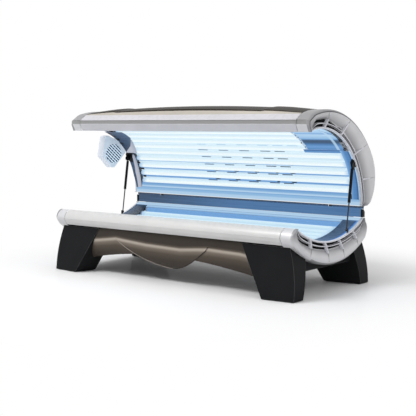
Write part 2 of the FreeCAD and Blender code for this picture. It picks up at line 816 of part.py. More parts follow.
def gland_hole():
    start = belly_back_axis[0] + belly_back_r - 30.0
    return cylinder(vec(gland_x, start, gland_z), Y, gland_r - 4.0, 2.0 * belly_back_r)


def cable_gland():
    face_y = belly_back_axis[0] + belly_back_r
    body = cylinder(vec(gland_x, face_y - 24.0, gland_z), Y, gland_r - 4.0, 26.0)
    hexagon = Part.makePolygon([vec(gland_x + gland_r * math.cos(math.radians(60 * i)), face_y + 0.5,
                                    gland_z + gland_r * math.sin(math.radians(60 * i)))
                                for i in range(7)])
    nut = Part.Face(hexagon).extrude(vec(0, gland_length * 0.5, 0))
    dome = Part.makeCone(gland_r - 2.0, gland_bore + 2.0, gland_length * 0.4,
                         vec(gland_x, face_y + gland_length * 0.5, gland_z), Y)
    shape = fuse([body, nut, dome])
    return shape.cut(cylinder(vec(gland_x, face_y - 40.0, gland_z), Y, gland_bore, 120.0))


def terminal_box():
    """Box behind the back wall of the pan, where the supply comes in."""
    x0, x1 = gland_x - 60.0, gland_x + 60.0
    y0, y1 = bench_half_y + 6.0, bench_half_y + 46.0
    z0, z1 = gland_z - 15.0, gland_z + 28.0
    body = block(x0, x1, y0, y1, z0, z1)
    core = block(x0 + metal, x1 - metal, y0 + metal, y1 - metal, z0 + metal, z1 - metal)
    return body.cut(core).cut(gland_hole())


# ---------------------------------------------------------------- rear of the base
rear_rail_top = 494.0
rear_rail_y = 478.0
rear_rail_foot = 432.0
rear_web_t = 4.0


def hinge_bracket():
    """Pair of plates that hold a hinge pin, with the foot that joins them."""
    inner = hinge_plate_t / 2 + hinge_side_gap
    near = strip_y + strip_t + 1.0
    plates = []
    for side in (-1, 1):
        x0 = hinge_x + (inner if side > 0 else -inner - hinge_plate_t)
        neck = block(x0, x0 + hinge_plate_t, near, rear_rail_y, rear_rail_top - 4.0, hinge_z)
        eye = cylinder(vec(x0, hinge_y, hinge_z), X, hinge_eye_r, hinge_plate_t)
        plates.append(neck.fuse(eye))
    foot = block(hinge_x - inner - hinge_plate_t, hinge_x + inner + hinge_plate_t,
                 near, rear_rail_y, rear_rail_top - 4.0, rear_rail_top + 6.0)
    body = fuse(plates + [foot])
    return body.cut(cylinder(vec(hinge_x - 60.0, hinge_y, hinge_z), X, hinge_pin_r, 120.0))


def base_rear_rail():
    """Long rail along the back of the tub, with the hinge brackets welded to it."""
    y0 = bench_half_y + 1.0
    web = y0 + rear_web_t
    points = [(y0, rear_rail_top), (rear_rail_y, rear_rail_top), (rear_rail_y, rear_rail_top - 10.0),
              (web + 6.0, rear_rail_top - 16.0), (web, rear_rail_top - 28.0),
              (web, rear_rail_foot), (y0, rear_rail_foot)]
    rail = polygon(points, -seam_x + 1.0, seam_x - 1.0)
    bracket = hinge_bracket()
    return fuse([rail, bracket, mirrored(bracket)])


def rear_strip():
    return block(-strip_half, strip_half, strip_y, strip_y + strip_t, strip_foot_z, strip_top_z)


def hinge_cover():
    """Black cap on the end of the strip, sloped behind so that the canopy's heel passes it."""
    front, back, top = strip_y - 8.0, strip_y + cap_depth, strip_top_z - cap_drop
    outline = [(front, strip_foot_z), (back, strip_foot_z), (back, top - cap_slope),
               (strip_y + strip_t + 1.0, top), (front, top)]
    return polygon(outline, strip_half, strip_half + cap_width)


def hinge_pin():
    inner = hinge_plate_t * 1.5 + hinge_side_gap
    pin = cylinder(vec(hinge_x - inner - 2.0, hinge_y, hinge_z), X, hinge_pin_r, 2.0 * inner + 2.0)
    head = cylinder(vec(hinge_x + inner, hinge_y, hinge_z), X, hinge_pin_r + 3.0, 4.0)
    return pin.fuse(head)


# ---------------------------------------------------------------- valance
def valance_band(drop):
    """Bowed bronze panel; drop moves it forward of the main panel."""
    top = (valance_top[0] - drop, valance_top[1])
    ridge = (valance_ridge[0] - drop, valance_ridge[1])
    foot = (valance_foot[0] - drop, valance_foot[1])
    centre, r = circle_through(top, ridge, foot)
    a0 = math.degrees(math.atan2(top[1] - centre[1], top[0] - centre[0])) % 360.0
    a1 = math.degrees(math.atan2(foot[1] - centre[1], foot[0] - centre[0])) % 360.0
    return band(centre, r - valance_t, r, a0, a1, -valance_half, valance_half)


def curtain(points_xz):
    """Cutter drawn in the XZ plane and extruded through the valance."""
    edges = []
    for kind, pts in points_xz:
        corners = [vec(x, -600.0, z) for x, z in pts]
        if kind == "curve":
            curve = Part.BSplineCurve()
            curve.interpolate(corners)
            edges.append(curve.toShape())
        else:
            edges.append(Part.makePolygon(corners))
    wire_edges = []
    for e in edges:
        wire_edges += e.Edges
    face = Part.Face(Part.Wire(Part.__sortEdges__(wire_edges)))
    return face.extrude(vec(0, 300.0, 0))


def front_valance():
    ends = valance_half + 2.0
    mid = (0.0, arch_mid_z)
    arch = [("curve", [(-ends, arch_end_z), (-ends * 0.5, arch_mid_z * 0.75 + arch_end_z * 0.25), mid,
                       (ends * 0.5, arch_mid_z * 0.75 + arch_end_z * 0.25), (ends, arch_end_z)]),
            ("line", [(ends, arch_end_z), (ends, 500.0), (-ends, 500.0), (-ends, arch_end_z)])]
    body = valance_band(0.0).common(curtain(arch))
    for cutter in (leg(), mirrored(leg())):
        body = body.cut(cutter)
    solids = sorted(body.Solids, key=lambda s: s.Volume)
    return solids[-1]


wave_proud = 3.2


def centre_valance():
    outline = [("curve", [wave_left] + list(wave_sweep) + [wave_tip]),
               ("curve", [wave_tip] + list(wave_rise) + [wave_right]),
               ("line", [wave_right, (wave_right[0], 500.0), (wave_left[0], 500.0), wave_left])]
    return valance_band(wave_proud).common(curtain(outline))


# ---------------------------------------------------------------- struts
def unit(p, q):
    d = math.hypot(q[0] - p[0], q[1] - p[1])
    return vec(0.0, (q[0] - p[0]) / d, (q[1] - p[1]) / d)


strut_dir = unit(strut_low, strut_high)
strut_length = math.hypot(strut_high[0] - strut_low[0], strut_high[1] - strut_low[1])
strut_tube_length = strut_length - strut_shown_rod - strut_neck


def strut_point(distance, x=strut_x):
    return vec(x, strut_low[0], strut_low[1]) + strut_dir * distance


def strut_foot():
    """Bracket and stud that carry the rod's lower eye."""
    outer = lip_x + 6.0
    stud = cylinder(vec(strut_x - strut_eye_t / 2 - 1.0, strut_low[0], strut_low[1]), X, strut_stud_r,
                    outer - strut_x + strut_eye_t / 2 + 1.0)
    # the plate stands on the moulding's rim
    plate = block(outer - 3.0, outer, strut_low[0] - 10.0, strut_low[0] + 10.0, strut_low[1] - 40.0,
                  strut_low[1] + 10.0)
    rim = Part.makeCylinder(bench_r, 4.0 * end_x, vec(-2.0 * end_x, 0.0, bench_z), X)
    return fuse([plate.common(rim), stud])


def strut_rod():
    eye = cylinder(strut_point(0.0, strut_x - strut_eye_t / 2 + 0.5), X, strut_eye_r, strut_eye_t - 1.0)
    rod = round_bar(strut_point(strut_eye_r * 0.5), strut_point(strut_shown_rod + 45.0), strut_rod_r)
    piston = round_bar(strut_point(strut_shown_rod + 45.0),
                       strut_point(strut_shown_rod + 45.0 + strut_piston_length),
                       strut_bore_r - strut_rod_fit)
    body = fuse([eye, rod, piston])
    bore = cylinder(vec(strut_x - 40.0, strut_low[0], strut_low[1]), X, strut_stud_r + hinge_fit, 80.0)
    return body.cut(bore)


def strut_cylinder():
    start = strut_shown_rod
    end = strut_shown_rod + strut_tube_length
    tube_shape = round_bar(strut_point(start), strut_point(end), strut_tube_r)
    bore = round_bar(strut_point(start + 14.0), strut_point(end - 10.0), strut_bore_r)
    neck = round_bar(strut_point(start - 1.0), strut_point(start + 16.0), strut_rod_r + strut_rod_fit)
    eye_neck = round_bar(strut_point(end - 2.0), strut_point(strut_length), strut_rod_r)
    eye = cylinder(strut_point(strut_length, strut_x - strut_eye_t / 2), X, strut_eye_r, strut_eye_t)
    body = fuse([tube_shape, eye_neck, eye]).cut(bore).cut(neck)
    return body


def strut_head():
    """Bracket and stud on the canopy, in front of the cylinder's eye."""
    x0 = strut_x + strut_eye_t / 2 + strut_open_play
    plate_t = 5.0
    up = math.degrees(math.atan2(strut_high[1] - dome_z, strut_high[0] - dome_y))
    tip = polar(dome_axis, dome_r + 1.0, up)
    disc = cylinder(vec(x0, strut_high[0], strut_high[1]), X, strut_shield_r, plate_t)
    side = strut_shield_r
    normal = (math.cos(math.radians(up + 90.0)), math.sin(math.radians(up + 90.0)))
    low = (strut_high[0] + normal[0] * side * 0.7, strut_high[1] + normal[1] * side * 0.7)
    high = (strut_high[0] - normal[0] * side * 0.7, strut_high[1] - normal[1] * side * 0.7)
    wide_a = (tip[0] + normal[0] * side * 1.6, tip[1] + normal[1] * side * 1.6)
    wide_b = (tip[0] - normal[0] * side * 1.6, tip[1] - normal[1] * side * 1.6)
    web = polygon([low, wide_a, wide_b, high], x0, x0 + plate_t)
    rim = Part.makeCylinder(dome_r, 4.0 * end_x, vec(-2.0 * end_x, dome_y, dome_z), X)
    return fuse([disc, web]).common(rim)


# ---------------------------------------------------------------- canopy shells
def cover_wire(x):
    """Thin closed section of the cover at a place along its length."""
    share = 1.0 - (x / seam_x) ** 2
    rise = crown_rise * share
    outer = crown_parts(0.0, rise)
    inner = crown_parts(metal, rise)
    front_out = polar(*outer[0][:2], crown_front)
    front_in = polar(*inner[0][:2], crown_front)
    heel_out = polar(*outer[2][:2], -90.0)
    heel_in = polar(*inner[2][:2], -90.0)
    foot_out = (cover_foot_y, canopy_floor_z)
    foot_in = (cover_foot_y - metal, canopy_floor_z + metal)
    strip_foot = (brow_top[0] + metal, brow_top[1] - metal)
    edges = [line(brow_top, front_out, x)] + [arc(*p, x) for p in outer]
    edges += [line(heel_out, foot_out, x), line(foot_out, foot_in, x), line(foot_in, heel_in, x)]
    edges += [arc(*p, x) for p in reversed(inner)]
    edges += [line(front_in, strip_foot, x), line(strip_foot, brow_top, x)]
    return Part.Wire(Part.__sortEdges__(edges))


grille_half_x = 190.0
grille_z0 = 700.0
grille_z1 = 790.0


def canopy_cover():
    stations = (-seam_x, -0.5 * seam_x, 0.0, 0.5 * seam_x, seam_x)
    shell = Part.makeLoft([cover_wire(x) for x in stations], True, False)
    hatch = block(-grille_half_x, grille_half_x, 500.0, 700.0, grille_z0, grille_z1)
    return shell.cut(hatch)


def exhaust_grille():
    """Slotted plate that fills the hatch in the back of the cover."""
    top_y = back_face_y(grille_z1) - 8.0
    low_y = back_face_y(grille_z0) - 8.0
    points = [(low_y, grille_z0), (top_y, grille_z1), (top_y - 4.0, grille_z1), (low_y - 4.0, grille_z0)]
    plate = polygon(points, -grille_half_x + 0.5, grille_half_x - 0.5)
    slots = []
    for i in range(6):
        z = grille_z0 + 12.0 + 13.0 * i
        slots.append(block(-grille_half_x + 15.0, grille_half_x - 15.0, 500.0, 700.0, z, z + 6.0))
    return plate.cut(group(slots))


def back_face_y(z):
    """Y of the cover's back at mid length for a height on its rear curve."""
    axis, r, _, _ = crown_parts(0.0, crown_rise)[1]
    return axis[0] + math.sqrt(r * r - (z - axis[1]) ** 2)


def upper_front_rail():
    inner_top = (brow_top[0] + 2.0, brow_top[1] - metal - 2.0)
    inner_mid = (brow_top[0] - 2.0, brow_bottom[1] + 31.0)
    inner_low = polar(dome_axis, dome_r + 10.0, brow_angle)
    outline = brow_edges() + [line(brow_top, inner_top), line(inner_top, inner_mid),
                              line(inner_mid, inner_low), line(inner_low, brow_inner)]
    solid = prism(outline, -seam_x, seam_x)
    return solid.cut(inset_prism(outline, metal * 0.8, -seam_x, seam_x))


def canopy_rear_rail():
    """Lower inner rail of the canopy with its sealing lip, slotted for the hinge plates."""
    top = polar(dome_axis, dome_r, dome_rail_top)
    back_y = cover_foot_y - metal - 0.5
    step_z = canopy_floor_z + 6.0
    outline = [arc(dome_axis, dome_r, dome_low, dome_rail_top),
               line(top, (top[0] + 10.0, top[1])),
               line((top[0] + 10.0, top[1]), (dome_heel[0] + 12.0, step_z)),
               line((dome_heel[0] + 12.0, step_z), (back_y, step_z)),
               line((back_y, step_z), (back_y, canopy_floor_z)),
               line((back_y, canopy_floor_z), dome_heel)]
    body = prism(outline, -seam_x + 0.5, seam_x - 0.5)
    lip_y = strip_y + strip_t + lip_back
    lip_foot = strip_top_z - lip_lap
    lip = block(-seam_x + 0.5, seam_x - 0.5, lip_y, lip_y + lip_t, lip_foot, canopy_floor_z + 1.0)
    reach = strip_half + cap_width
    tail = block(-reach, reach, lip_y, lip_y + lip_t, lip_foot, canopy_floor_z - 0.1)
    body = fuse([body, lip, tail])
    gap = hinge_plate_t * 1.5 + hinge_side_gap + 5.0
    slots = [block(side * hinge_x - gap, side * hinge_x + gap, dome_heel[0] + 12.5, hinge_y + 22.0,
                   lip_foot - 1.0, canopy_floor_z + 20.0) for side in (-1, 1)]
    return body.cut(group(slots))


def canopy_sheet():
    start = dome_rail_top + 0.1
    body = band(dome_axis, dome_r, dome_r + dome_sheet_t, start, brow_angle - 0.6,
                -lip_x + sheet_gap, lip_x - sheet_gap)
    gap = band(dome_axis, dome_r - 1.0, dome_r + dome_sheet_t + 1.0, face_low, brow_angle + 1.0,
               face_x0, face_x1)
    return body.cut(gap)


def canopy_end_panel():
    r = dome_r + dome_sheet_t + panel_under
    return band(dome_axis, r, r + reflector_t, dome_rail_top + 1.0, face_low - 1.5,
                panel_x0, lip_x - sheet_gap)


dome_lamp_r = dome_r + dome_sheet_t + panel_under + reflector_t + lamp_to_sheet + lamp_r
dome_reflector_r = dome_lamp_r + lamp_r + lamp_to_reflector


def dome_lamp_list():
    """Centre and X ends of each canopy lamp, from the back to the front."""
    rows = []
    for i in range(dome_lamp_count):
        x1 = dome_lamp_half if i < dome_long_lamps else dome_short_end
        rows.append((polar(dome_axis, dome_lamp_r, dome_lamp_first + dome_lamp_pitch * i),
                     -dome_lamp_half, x1))
    return rows


def canopy_lamps():
    return group(lamp(c, x0, x1) for c, x0, x1 in dome_lamp_list())


def canopy_lamp_holders():
    shapes = []
    for c, x0, x1 in dome_lamp_list():
        shapes += holder_set(c, dome_axis, dome_reflector_r, ((x0, -1), (x1, 1)))
    cutter = Part.makeCylinder(dome_reflector_r, 4.0 * end_x, vec(-2.0 * end_x, dome_y, dome_z), X)
    return group(s.common(cutter) for s in shapes)


reflector_top = 97.5


def canopy_reflector():
    half = math.degrees(slot_width / 2 / dome_reflector_r)
    body = band(dome_axis, dome_reflector_r, dome_reflector_r + reflector_t, dome_rail_top + 0.4,
                reflector_top, -dome_reflector_half, dome_reflector_half)
    cuts = []
    for row in range(slot_rows):
        a = dome_lamp_first + dome_lamp_pitch * (row + 0.5)
        for x in slot_starts:
            cuts.append(band(dome_axis, dome_reflector_r - 1.0, dome_reflector_r + reflector_t + 1.0,
                             a - half, a + half, x, x + slot_length))
    cuts.append(band(dome_axis, dome_reflector_r - 1.0, dome_reflector_r + reflector_t + 1.0,
                     face_low, reflector_top + 1.0, face_x0 - 2.0, face_x1 + 2.0))
    return body.cut(group(cuts))


def canopy_frame():
    r0 = dome_reflector_r + reflector_t + dome_hoop_gap
    hoops = [band(dome_axis, r0, r0 + hoop_depth, 6.0, 96.0, x - hoop_width / 2, x + hoop_width / 2)
             for x in dome_hoop_x]
    rear = block(-seam_x + 4.0, seam_x - 4.0, rear_tube_y - tube / 2, rear_tube_y + tube / 2,
                 rear_tube_z - 16.0, rear_tube_z + 16.0)
    rear_core = block(-seam_x + 3.0, seam_x - 3.0, rear_tube_y - tube / 2 + tube_wall,
                      rear_tube_y + tube / 2 - tube_wall, rear_tube_z - 16.0 + tube_wall,
                      rear_tube_z + 16.0 - tube_wall)
    top = polar(dome_axis, r0 + hoop_depth / 2, 94.0)
    front = block(-seam_x + 4.0, face_x0 - 40.0, top[0] - 12.0, top[0] + 12.0, top[1] - 12.0, top[1] + 12.0)
    arm = hinge_arm()
    body = fuse(hoops + [rear, front]).cut(rear_core)
    return fuse([body, arm, mirrored(arm)])


def hinge_arm():
    """Plate under the canopy's rear tube that turns on a hinge pin."""
    x0 = hinge_x - hinge_plate_t / 2
    eye = cylinder(vec(x0, hinge_y, hinge_z), X, hinge_eye_r, hinge_plate_t)
    top = rear_tube_z - 16.0
    web = block(x0, x0 + hinge_plate_t, hinge_y - 2.0, rear_tube_y + tube / 2, hinge_z, top)
    bore = cylinder(vec(x0 - 10.0, hinge_y, hinge_z), X, hinge_pin_r + hinge_fit, 40.0)
    return fuse([eye, web]).cut(bore)


# ---------------------------------------------------------------- facial tanner
def facial_window():
    gap = 0.6
    return band(dome_axis, dome_r, dome_r + face_glass_t, face_low + 0.1, brow_angle - 0.7,
                face_x0 + gap, face_x1 - gap)


def facial_box():
    """Open tray that holds the three facial lamps above their window."""
    r0 = dome_r + face_glass_t + 0.5
    r1 = r0 + face_box_depth
    outer = band(dome_axis, r0, r1, face_low + 0.3, face_high, face_x0 + 1.0, face_x1 - 1.0)
    inner = band(dome_axis, r0 - 1.0, r1 - 2.0, face_low + 0.6, face_high - 0.4,
                 face_x0 + 3.0, face_x1 - 3.0)
    return outer.cut(inner)


def facial_lamps():
    shapes = []
    mid_x = 0.5 * (face_x0 + face_x1)
    for i in range(3):
        a = face_low + (face_high - face_low) * (i + 0.5) / 3.0
        c = polar(dome_axis, dome_r + face_glass_t + 28.0, a)
        burner = cylinder(vec(mid_x - face_lamp_length / 2, c[0], c[1]), X, face_lamp_r, face_lamp_length)
        ends = [cylinder(vec(mid_x + s * face_lamp_length / 2 - 8.0, c[0], c[1]), X,
                         face_lamp_r + 4.0, 16.0) for s in (-1, 1)]
        shapes.append(fuse([burner] + ends))
    return group(shapes)


# ---------------------------------------------------------------- canopy inner parts
def radial_frame(angle, r, x):
    """Centre and outward direction at an angle and radius about the canopy's axis."""
    c = polar(dome_axis, r, angle)
    a = math.radians(angle)
    return vec(x, c[0], c[1]), vec(0.0, math.cos(a), math.sin(a))


exhaust_angle = 18.0
exhaust_rise = 34.0       # fan disc from the reflector's back
exhaust_frame = 176.0
exhaust_x = 300.0


exhaust_r = dome_reflector_r + reflector_t + exhaust_rise


def canopy_fan_housing():
    centre = radial_frame(exhaust_angle, exhaust_r, exhaust_x)[0]
    half = exhaust_frame / 2
    r0 = dome_reflector_r + reflector_t
    body = block(-half, half, -half, half, r0 - exhaust_r + 2.0, 20.0)
    body = body.cut(Part.makeCylinder(fan_r, 200.0, vec(0, 0, -100.0)))
    spokes = [block(-fan_r - 2.0, fan_r + 2.0, -spoke_t / 2, spoke_t / 2, 14.0, 20.0),
              block(-spoke_t / 2, spoke_t / 2, -fan_r - 2.0, fan_r + 2.0, 14.0, 20.0)]
    motor = Part.makeCylinder(motor_r, 20.0, vec(0, 0, 14.0))
    shaft = Part.makeCylinder(shaft_r, 36.0, vec(0, 0, -20.0))
    body = fuse([body] + spokes + [motor, shaft])
    # local +Z becomes the outward direction
    body.rotate(vec(0, 0, 0), X, -(90.0 - exhaust_angle))
    body.translate(centre)
    return body.cut(Part.makeCylinder(r0, 4.0 * end_x, vec(-2.0 * end_x, dome_y, dome_z), X))


def canopy_fan_rotor():
    centre = radial_frame(exhaust_angle, exhaust_r - 4.0, exhaust_x)[0]
    rotor = fan_blades_shape(vec(0, 0, 0), Z, fan_r - fan_tip_gap, 26.0, fan_hub_r)
    rotor = rotor.cut(Part.makeCylinder(shaft_r + shaft_fit, 200.0, vec(0, 0, -100.0)))
    rotor.rotate(vec(0, 0, 0), X, -(90.0 - exhaust_angle))
    rotor.translate(centre)
    return rotor


canopy_ballast_x = (-560.0, -380.0, -200.0)
canopy_ballast_angle = 22.0


def canopy_ballasts():
    shapes = []
    w, d, h = ballast_size
    r0 = dome_reflector_r + reflector_t
    for x in canopy_ballast_x:
        centre = radial_frame(canopy_ballast_angle, r0, x)[0]
        body = block(-w / 2, w / 2, -d / 2, d / 2, -10.0, h)
        body.rotate(vec(0, 0, 0), X, -(90.0 - canopy_ballast_angle))
        body.translate(centre)
        cutter = Part.makeCylinder(r0, 4.0 * end_x, vec(-2.0 * end_x, dome_y, dome_z), X)
        shapes.append(body.cut(cutter))
    return group(shapes)


# ---------------------------------------------------------------- body fan
def pod_prism(inset, x0, x1):
    points = [stepped((louvre_y, louvre_z), step) for step in pod_steps]
    edges = [line(p, q) for p, q in zip(points, points[1:] + points[:1])]
    if inset > 0.0:
        return inset_prism(edges, inset, x0, x1)
    return prism(edges, x0, x1)


def body_fan_pod():
    body = pod_prism(0.0, pod_x0, pod_x1)
    body = body.cut(pod_prism(pod_wall, pod_x0 + pod_wall, pod_x1 - pod_wall))
    mouth = cylinder(vec(pod_x1 - 20.0, louvre_y, louvre_z), X, louvre_r, 40.0)
    # flange that carries the pod on the rim of the end moulding
    outline = [stepped((louvre_y, louvre_z), step) for step in pod_flange]
    flange = polygon(outline, -lip_x - 22.0, -lip_x - 16.0)
    body = fuse([body, flange.cut(pod_prism(0.0, pod_x0, pod_x1))])
    rim = Part.makeCylinder(dome_r, 4.0 * end_x, vec(-2.0 * end_x, dome_y, dome_z), X)
    return body.cut(mouth).common(rim)


def body_fan_louvre():
    ring = cylinder(vec(pod_x1 - pod_wall, louvre_y, louvre_z), X, louvre_r, pod_wall + 2.0)
    ring = ring.cut(cylinder(vec(pod_x1 - 20.0, louvre_y, louvre_z), X, louvre_r - 6.0, 40.0))
    bars = []
    pitch = 2.0 * (louvre_r - 4.0) / (louvre_bars + 1)
    for i in range(louvre_bars):
        off = -louvre_r + 4.0 + pitch * (i + 1)
        half = math.sqrt((louvre_r - 2.0) ** 2 - off ** 2)
        bar = block(pod_x1 - pod_wall, pod_x1 + 1.0, off - louvre_bar / 2, off + louvre_bar / 2,
                    -half, half)
        bar.rotate(vec(0, 0, 0), X, louvre_slant)
        bar.translate(vec(0, louvre_y, louvre_z))
        bars.append(bar)
    mouth = cylinder(vec(pod_x1 - 20.0, louvre_y, louvre_z), X, louvre_r - 0.2, 40.0)
    return fuse([ring] + bars).common(mouth)


pod_motor_r = 22.0


def body_fan_motor():
    motor = cylinder(vec(pod_x0 + pod_wall, louvre_y, louvre_z), X, pod_motor_r, 24.0)
    shaft = cylinder(vec(pod_x0 + pod_wall + 24.0, louvre_y, louvre_z), X, shaft_r, 22.0)
    return motor.fuse(shaft)


def body_fan_rotor():
    centre = vec(pod_x0 + pod_wall + 24.0 + 4.0 + pod_rotor_depth / 2, louvre_y, louvre_z)
    rotor = fan_blades_shape(vec(0, 0, 0), Z, pod_rotor_r, pod_rotor_depth, 18.0)
    rotor = rotor.cut(Part.makeCylinder(shaft_r + shaft_fit, 200.0, vec(0, 0, -100.0)))
    rotor.rotate(vec(0, 0, 0), Y, 90.0)
    rotor.translate(centre)
    return rotor


duct_t = 10.0
duct_low = 39.0
duct_high = 74.0
duct_x0 = -1106.0
duct_low_x = -993.0
duct_high_x = -925.0


def air_duct_cover():
    """Shaped cover on the clear sheet beside the body fan."""
    slab = band(dome_axis, dome_r - duct_t, dome_r - 0.2, duct_low, duct_high, duct_x0, duct_high_x)
    # the head-end side is cut back along a slanted line
    z_low = polar(dome_axis, dome_r, duct_low)[1]
    z_high = polar(dome_axis, dome_r, duct_high)[1]
    corners = [vec(duct_low_x, 0.0, z_low - 60.0), vec(duct_low_x, 0.0, z_low),
               vec(duct_high_x, 0.0, z_high), vec(0.0, 0.0, z_high), vec(0.0, 0.0, z_low - 60.0)]
    wedge = Part.Face(Part.makePolygon(corners + corners[:1])).extrude(vec(0, 2.0 * dome_r, 0))
    wedge.translate(vec(0, -dome_r, 0))
    return slab.cut(wedge)


# ---------------------------------------------------------------- controls
def radial_cylinder(angle, x, r_from, r_to, radius):
    centre, out = radial_frame(angle, r_from, x)
    return Part.makeCylinder(radius, abs(r_to - r_from), centre, out * (1.0 if r_to > r_from else -1.0))


control_mid_x = 0.5 * (face_x1 + lip_x)
control_face = dome_r - panel_t - 4.0


def control_plate():
    body = band(dome_axis, control_face, dome_r - 0.2, knob_angle - 3.0, button_angle + 3.0,
                face_x1 + 2.0, lip_x - 2.0)
    low, high = dome_r - 40.0, dome_r - 1.2
    holes = [radial_cylinder(button_angle, control_mid_x, low, high, button_r + button_fit),
             radial_cylinder(knob_angle, control_mid_x, low, high, shaft_r)]
    return body.cut(group(holes))


def start_button():
    return radial_cylinder(button_angle, control_mid_x, control_face - button_proud,
                           dome_r - 1.4 - button_travel, button_r)


def speed_knob():
    cap = radial_cylinder(knob_angle, control_mid_x, control_face - 0.5 - knob_height,
                          control_face - 0.5, knob_r)
    stem = radial_cylinder(knob_angle, control_mid_x, control_face - 0.5, dome_r - 2.0,
                           shaft_r - shaft_fit)
    mark = radial_cylinder(knob_angle, control_mid_x, control_face - 1.5 - knob_height,
                           control_face - 0.5 - knob_height, 2.0)
    mark.translate(vec(knob_r - 4.0, 0.0, 0.0))
    return fuse([cap, stem, mark])


# ---------------------------------------------------------------- all nodes
def both(shape):
    """A piece and its mirror image, as one set."""
    return group([shape, mirrored(shape)])


def base_nodes():
    saddle = leg_saddle()
    moulding = base_end_moulding()
    screen = vent_screen(bench_axis, bench_r, base_vent_outer, -117.2, -63.0)
    return {
        "leg_saddle_right": saddle,
        "leg_saddle_left": mirrored(saddle),
        "floor_glides": floor_glides(),
        "leg_bolts": leg_bolts(),
        "base_frame": base_frame(),
        "belly_pan": belly_pan(),
        "intake_grille": intake_grille(),
        "front_valance": front_valance(),
        "centre_valance": centre_valance(),
        "lower_front_rail": lower_front_rail(),
        "base_end_moulding_right": moulding,
        "base_end_moulding_left": mirrored(moulding),
        "base_vent_screens": both(screen),
        "bench_sheet": bench_sheet(),
        "bench_end_panels": both(bench_end_panel()),
        "bench_reflector": bench_reflector(),
        "bench_lamps": bench_lamps(),
        "bench_lamp_holders": bench_lamp_holders(),
        "base_ballasts": base_ballasts(),
        "base_fan_housing": base_fan_housing(),
        "base_fan_rotor": base_fan_rotor(),
        "terminal_box": terminal_box(),
        "cable_gland": cable_gland(),
        "base_rear_rail": base_rear_rail(),
        "rear_strip": rear_strip(),
        "hinge_covers": both(hinge_cover()),
        "hinge_pins": both(hinge_pin()),
        "strut_feet": both(strut_foot()),
    }


def strut_nodes():
    rod = strut_rod()
    tube_shape = strut_cylinder()
    return {
        "strut_rod_right": rod,
        "strut_rod_left": mirrored(rod),
        "strut_cylinder_right": tube_shape,
        "strut_cylinder_left": mirrored(tube_shape),
    }


def canopy_nodes():
    moulding = canopy_end_moulding()
    screen = vent_screen(dome_axis, dome_r, canopy_vent_outer, 22.0, 102.6)
    return {
        "strut_heads": both(strut_head()),
        "canopy_cover": canopy_cover(),
        "exhaust_grille": exhaust_grille(),
        "upper_front_rail": upper_front_rail(),
        "canopy_rear_rail": canopy_rear_rail(),
        "canopy_end_moulding_right": moulding,
        "canopy_end_moulding_left": mirrored(moulding),
        "canopy_vent_screens": both(screen),
        "canopy_frame": canopy_frame(),
        "canopy_reflector": canopy_reflector(),
        "canopy_lamps": canopy_lamps(),
        "canopy_lamp_holders": canopy_lamp_holders(),
        "canopy_sheet": canopy_sheet(),
        "canopy_end_panels": both(canopy_end_panel()),
        "facial_window": facial_window(),
        "facial_box": facial_box(),
        "facial_lamps": facial_lamps(),
        "canopy_ballasts": canopy_ballasts(),
        "canopy_fan_housing": canopy_fan_housing(),
        "canopy_fan_rotor": canopy_fan_rotor(),
        "body_fan_pod": body_fan_pod(),
        "body_fan_louvre": body_fan_louvre(),
        "body_fan_motor": body_fan_motor(),
        "body_fan_rotor": body_fan_rotor(),
        "air_duct_cover": air_duct_cover(),
        "control_plate": control_plate(),
        "start_button": start_button(),
        "speed_knob": speed_knob(),
    }


def middle_of_depth():
    """Middle between the front of the feet and the back of the opened canopy."""
    front = leg_section(glide_t)[0].y
    axis, radius, _, _ = crown_parts(0.0, crown_rise)[1]
    return 0.5 * (front + axis[0] + radius)


def main():
    os.makedirs("parts", exist_ok=True)
    nodes = {**base_nodes(), **strut_nodes(), **canopy_nodes()}
    datum_y = middle_of_depth()
    for name, shape in nodes.items():
        shape.translate(vec(0.0, -datum_y, 0.0))
        shape.exportStep("parts/" + name + ".step")
    print(len(nodes), "nodes, datum", round(datum_y, 4))


main()
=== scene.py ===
# %% [markdown]
# # A clamshell tanning bed, dressed
# The real object is a sunbed for a studio: a moulded tub on two black saddle legs, and a canopy
# full of fluorescent tubes that swings up on a rear hinge. The engineering model already has every
# piece at its true size. This lesson gives those pieces their finishes, and builds the shapes that
# a drawing of solids leaves plain: the scooped end rings, the full crown and the trims at the tubes.

# %% Start: load the frame of solids
import bpy
import bmesh
import math
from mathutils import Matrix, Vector
from mathutils.bvhtree import BVHTree


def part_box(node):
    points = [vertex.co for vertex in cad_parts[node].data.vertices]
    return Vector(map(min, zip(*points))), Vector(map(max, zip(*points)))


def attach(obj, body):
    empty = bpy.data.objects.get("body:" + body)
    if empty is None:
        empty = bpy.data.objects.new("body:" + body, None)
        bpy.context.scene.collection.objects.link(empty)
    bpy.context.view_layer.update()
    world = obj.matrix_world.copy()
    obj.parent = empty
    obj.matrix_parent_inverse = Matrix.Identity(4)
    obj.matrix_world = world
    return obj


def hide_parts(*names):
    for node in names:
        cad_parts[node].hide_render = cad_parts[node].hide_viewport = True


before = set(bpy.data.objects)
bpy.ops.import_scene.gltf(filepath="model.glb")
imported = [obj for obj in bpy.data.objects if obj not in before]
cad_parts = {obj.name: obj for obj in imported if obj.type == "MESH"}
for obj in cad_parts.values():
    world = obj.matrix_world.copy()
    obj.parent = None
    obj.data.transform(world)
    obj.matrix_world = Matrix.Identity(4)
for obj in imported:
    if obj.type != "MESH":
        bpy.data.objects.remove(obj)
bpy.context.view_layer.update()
scene = bpy.context.scene

# %% [markdown]
# Sizes are easiest to think about in millimetres, from the middle of the feet. The frame's own
# origin lies a little further back, so one helper turns such a place into the frame's metres. The
# hinge pins stand 464 mm behind the middle of the feet, which gives the shift between the two.

# %% Places in millimetres
pins_behind = 464.0
pins_low, pins_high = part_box("hinge_pins")
frame_shift = pins_behind - 500.0 * (pins_low.y + pins_high.y)


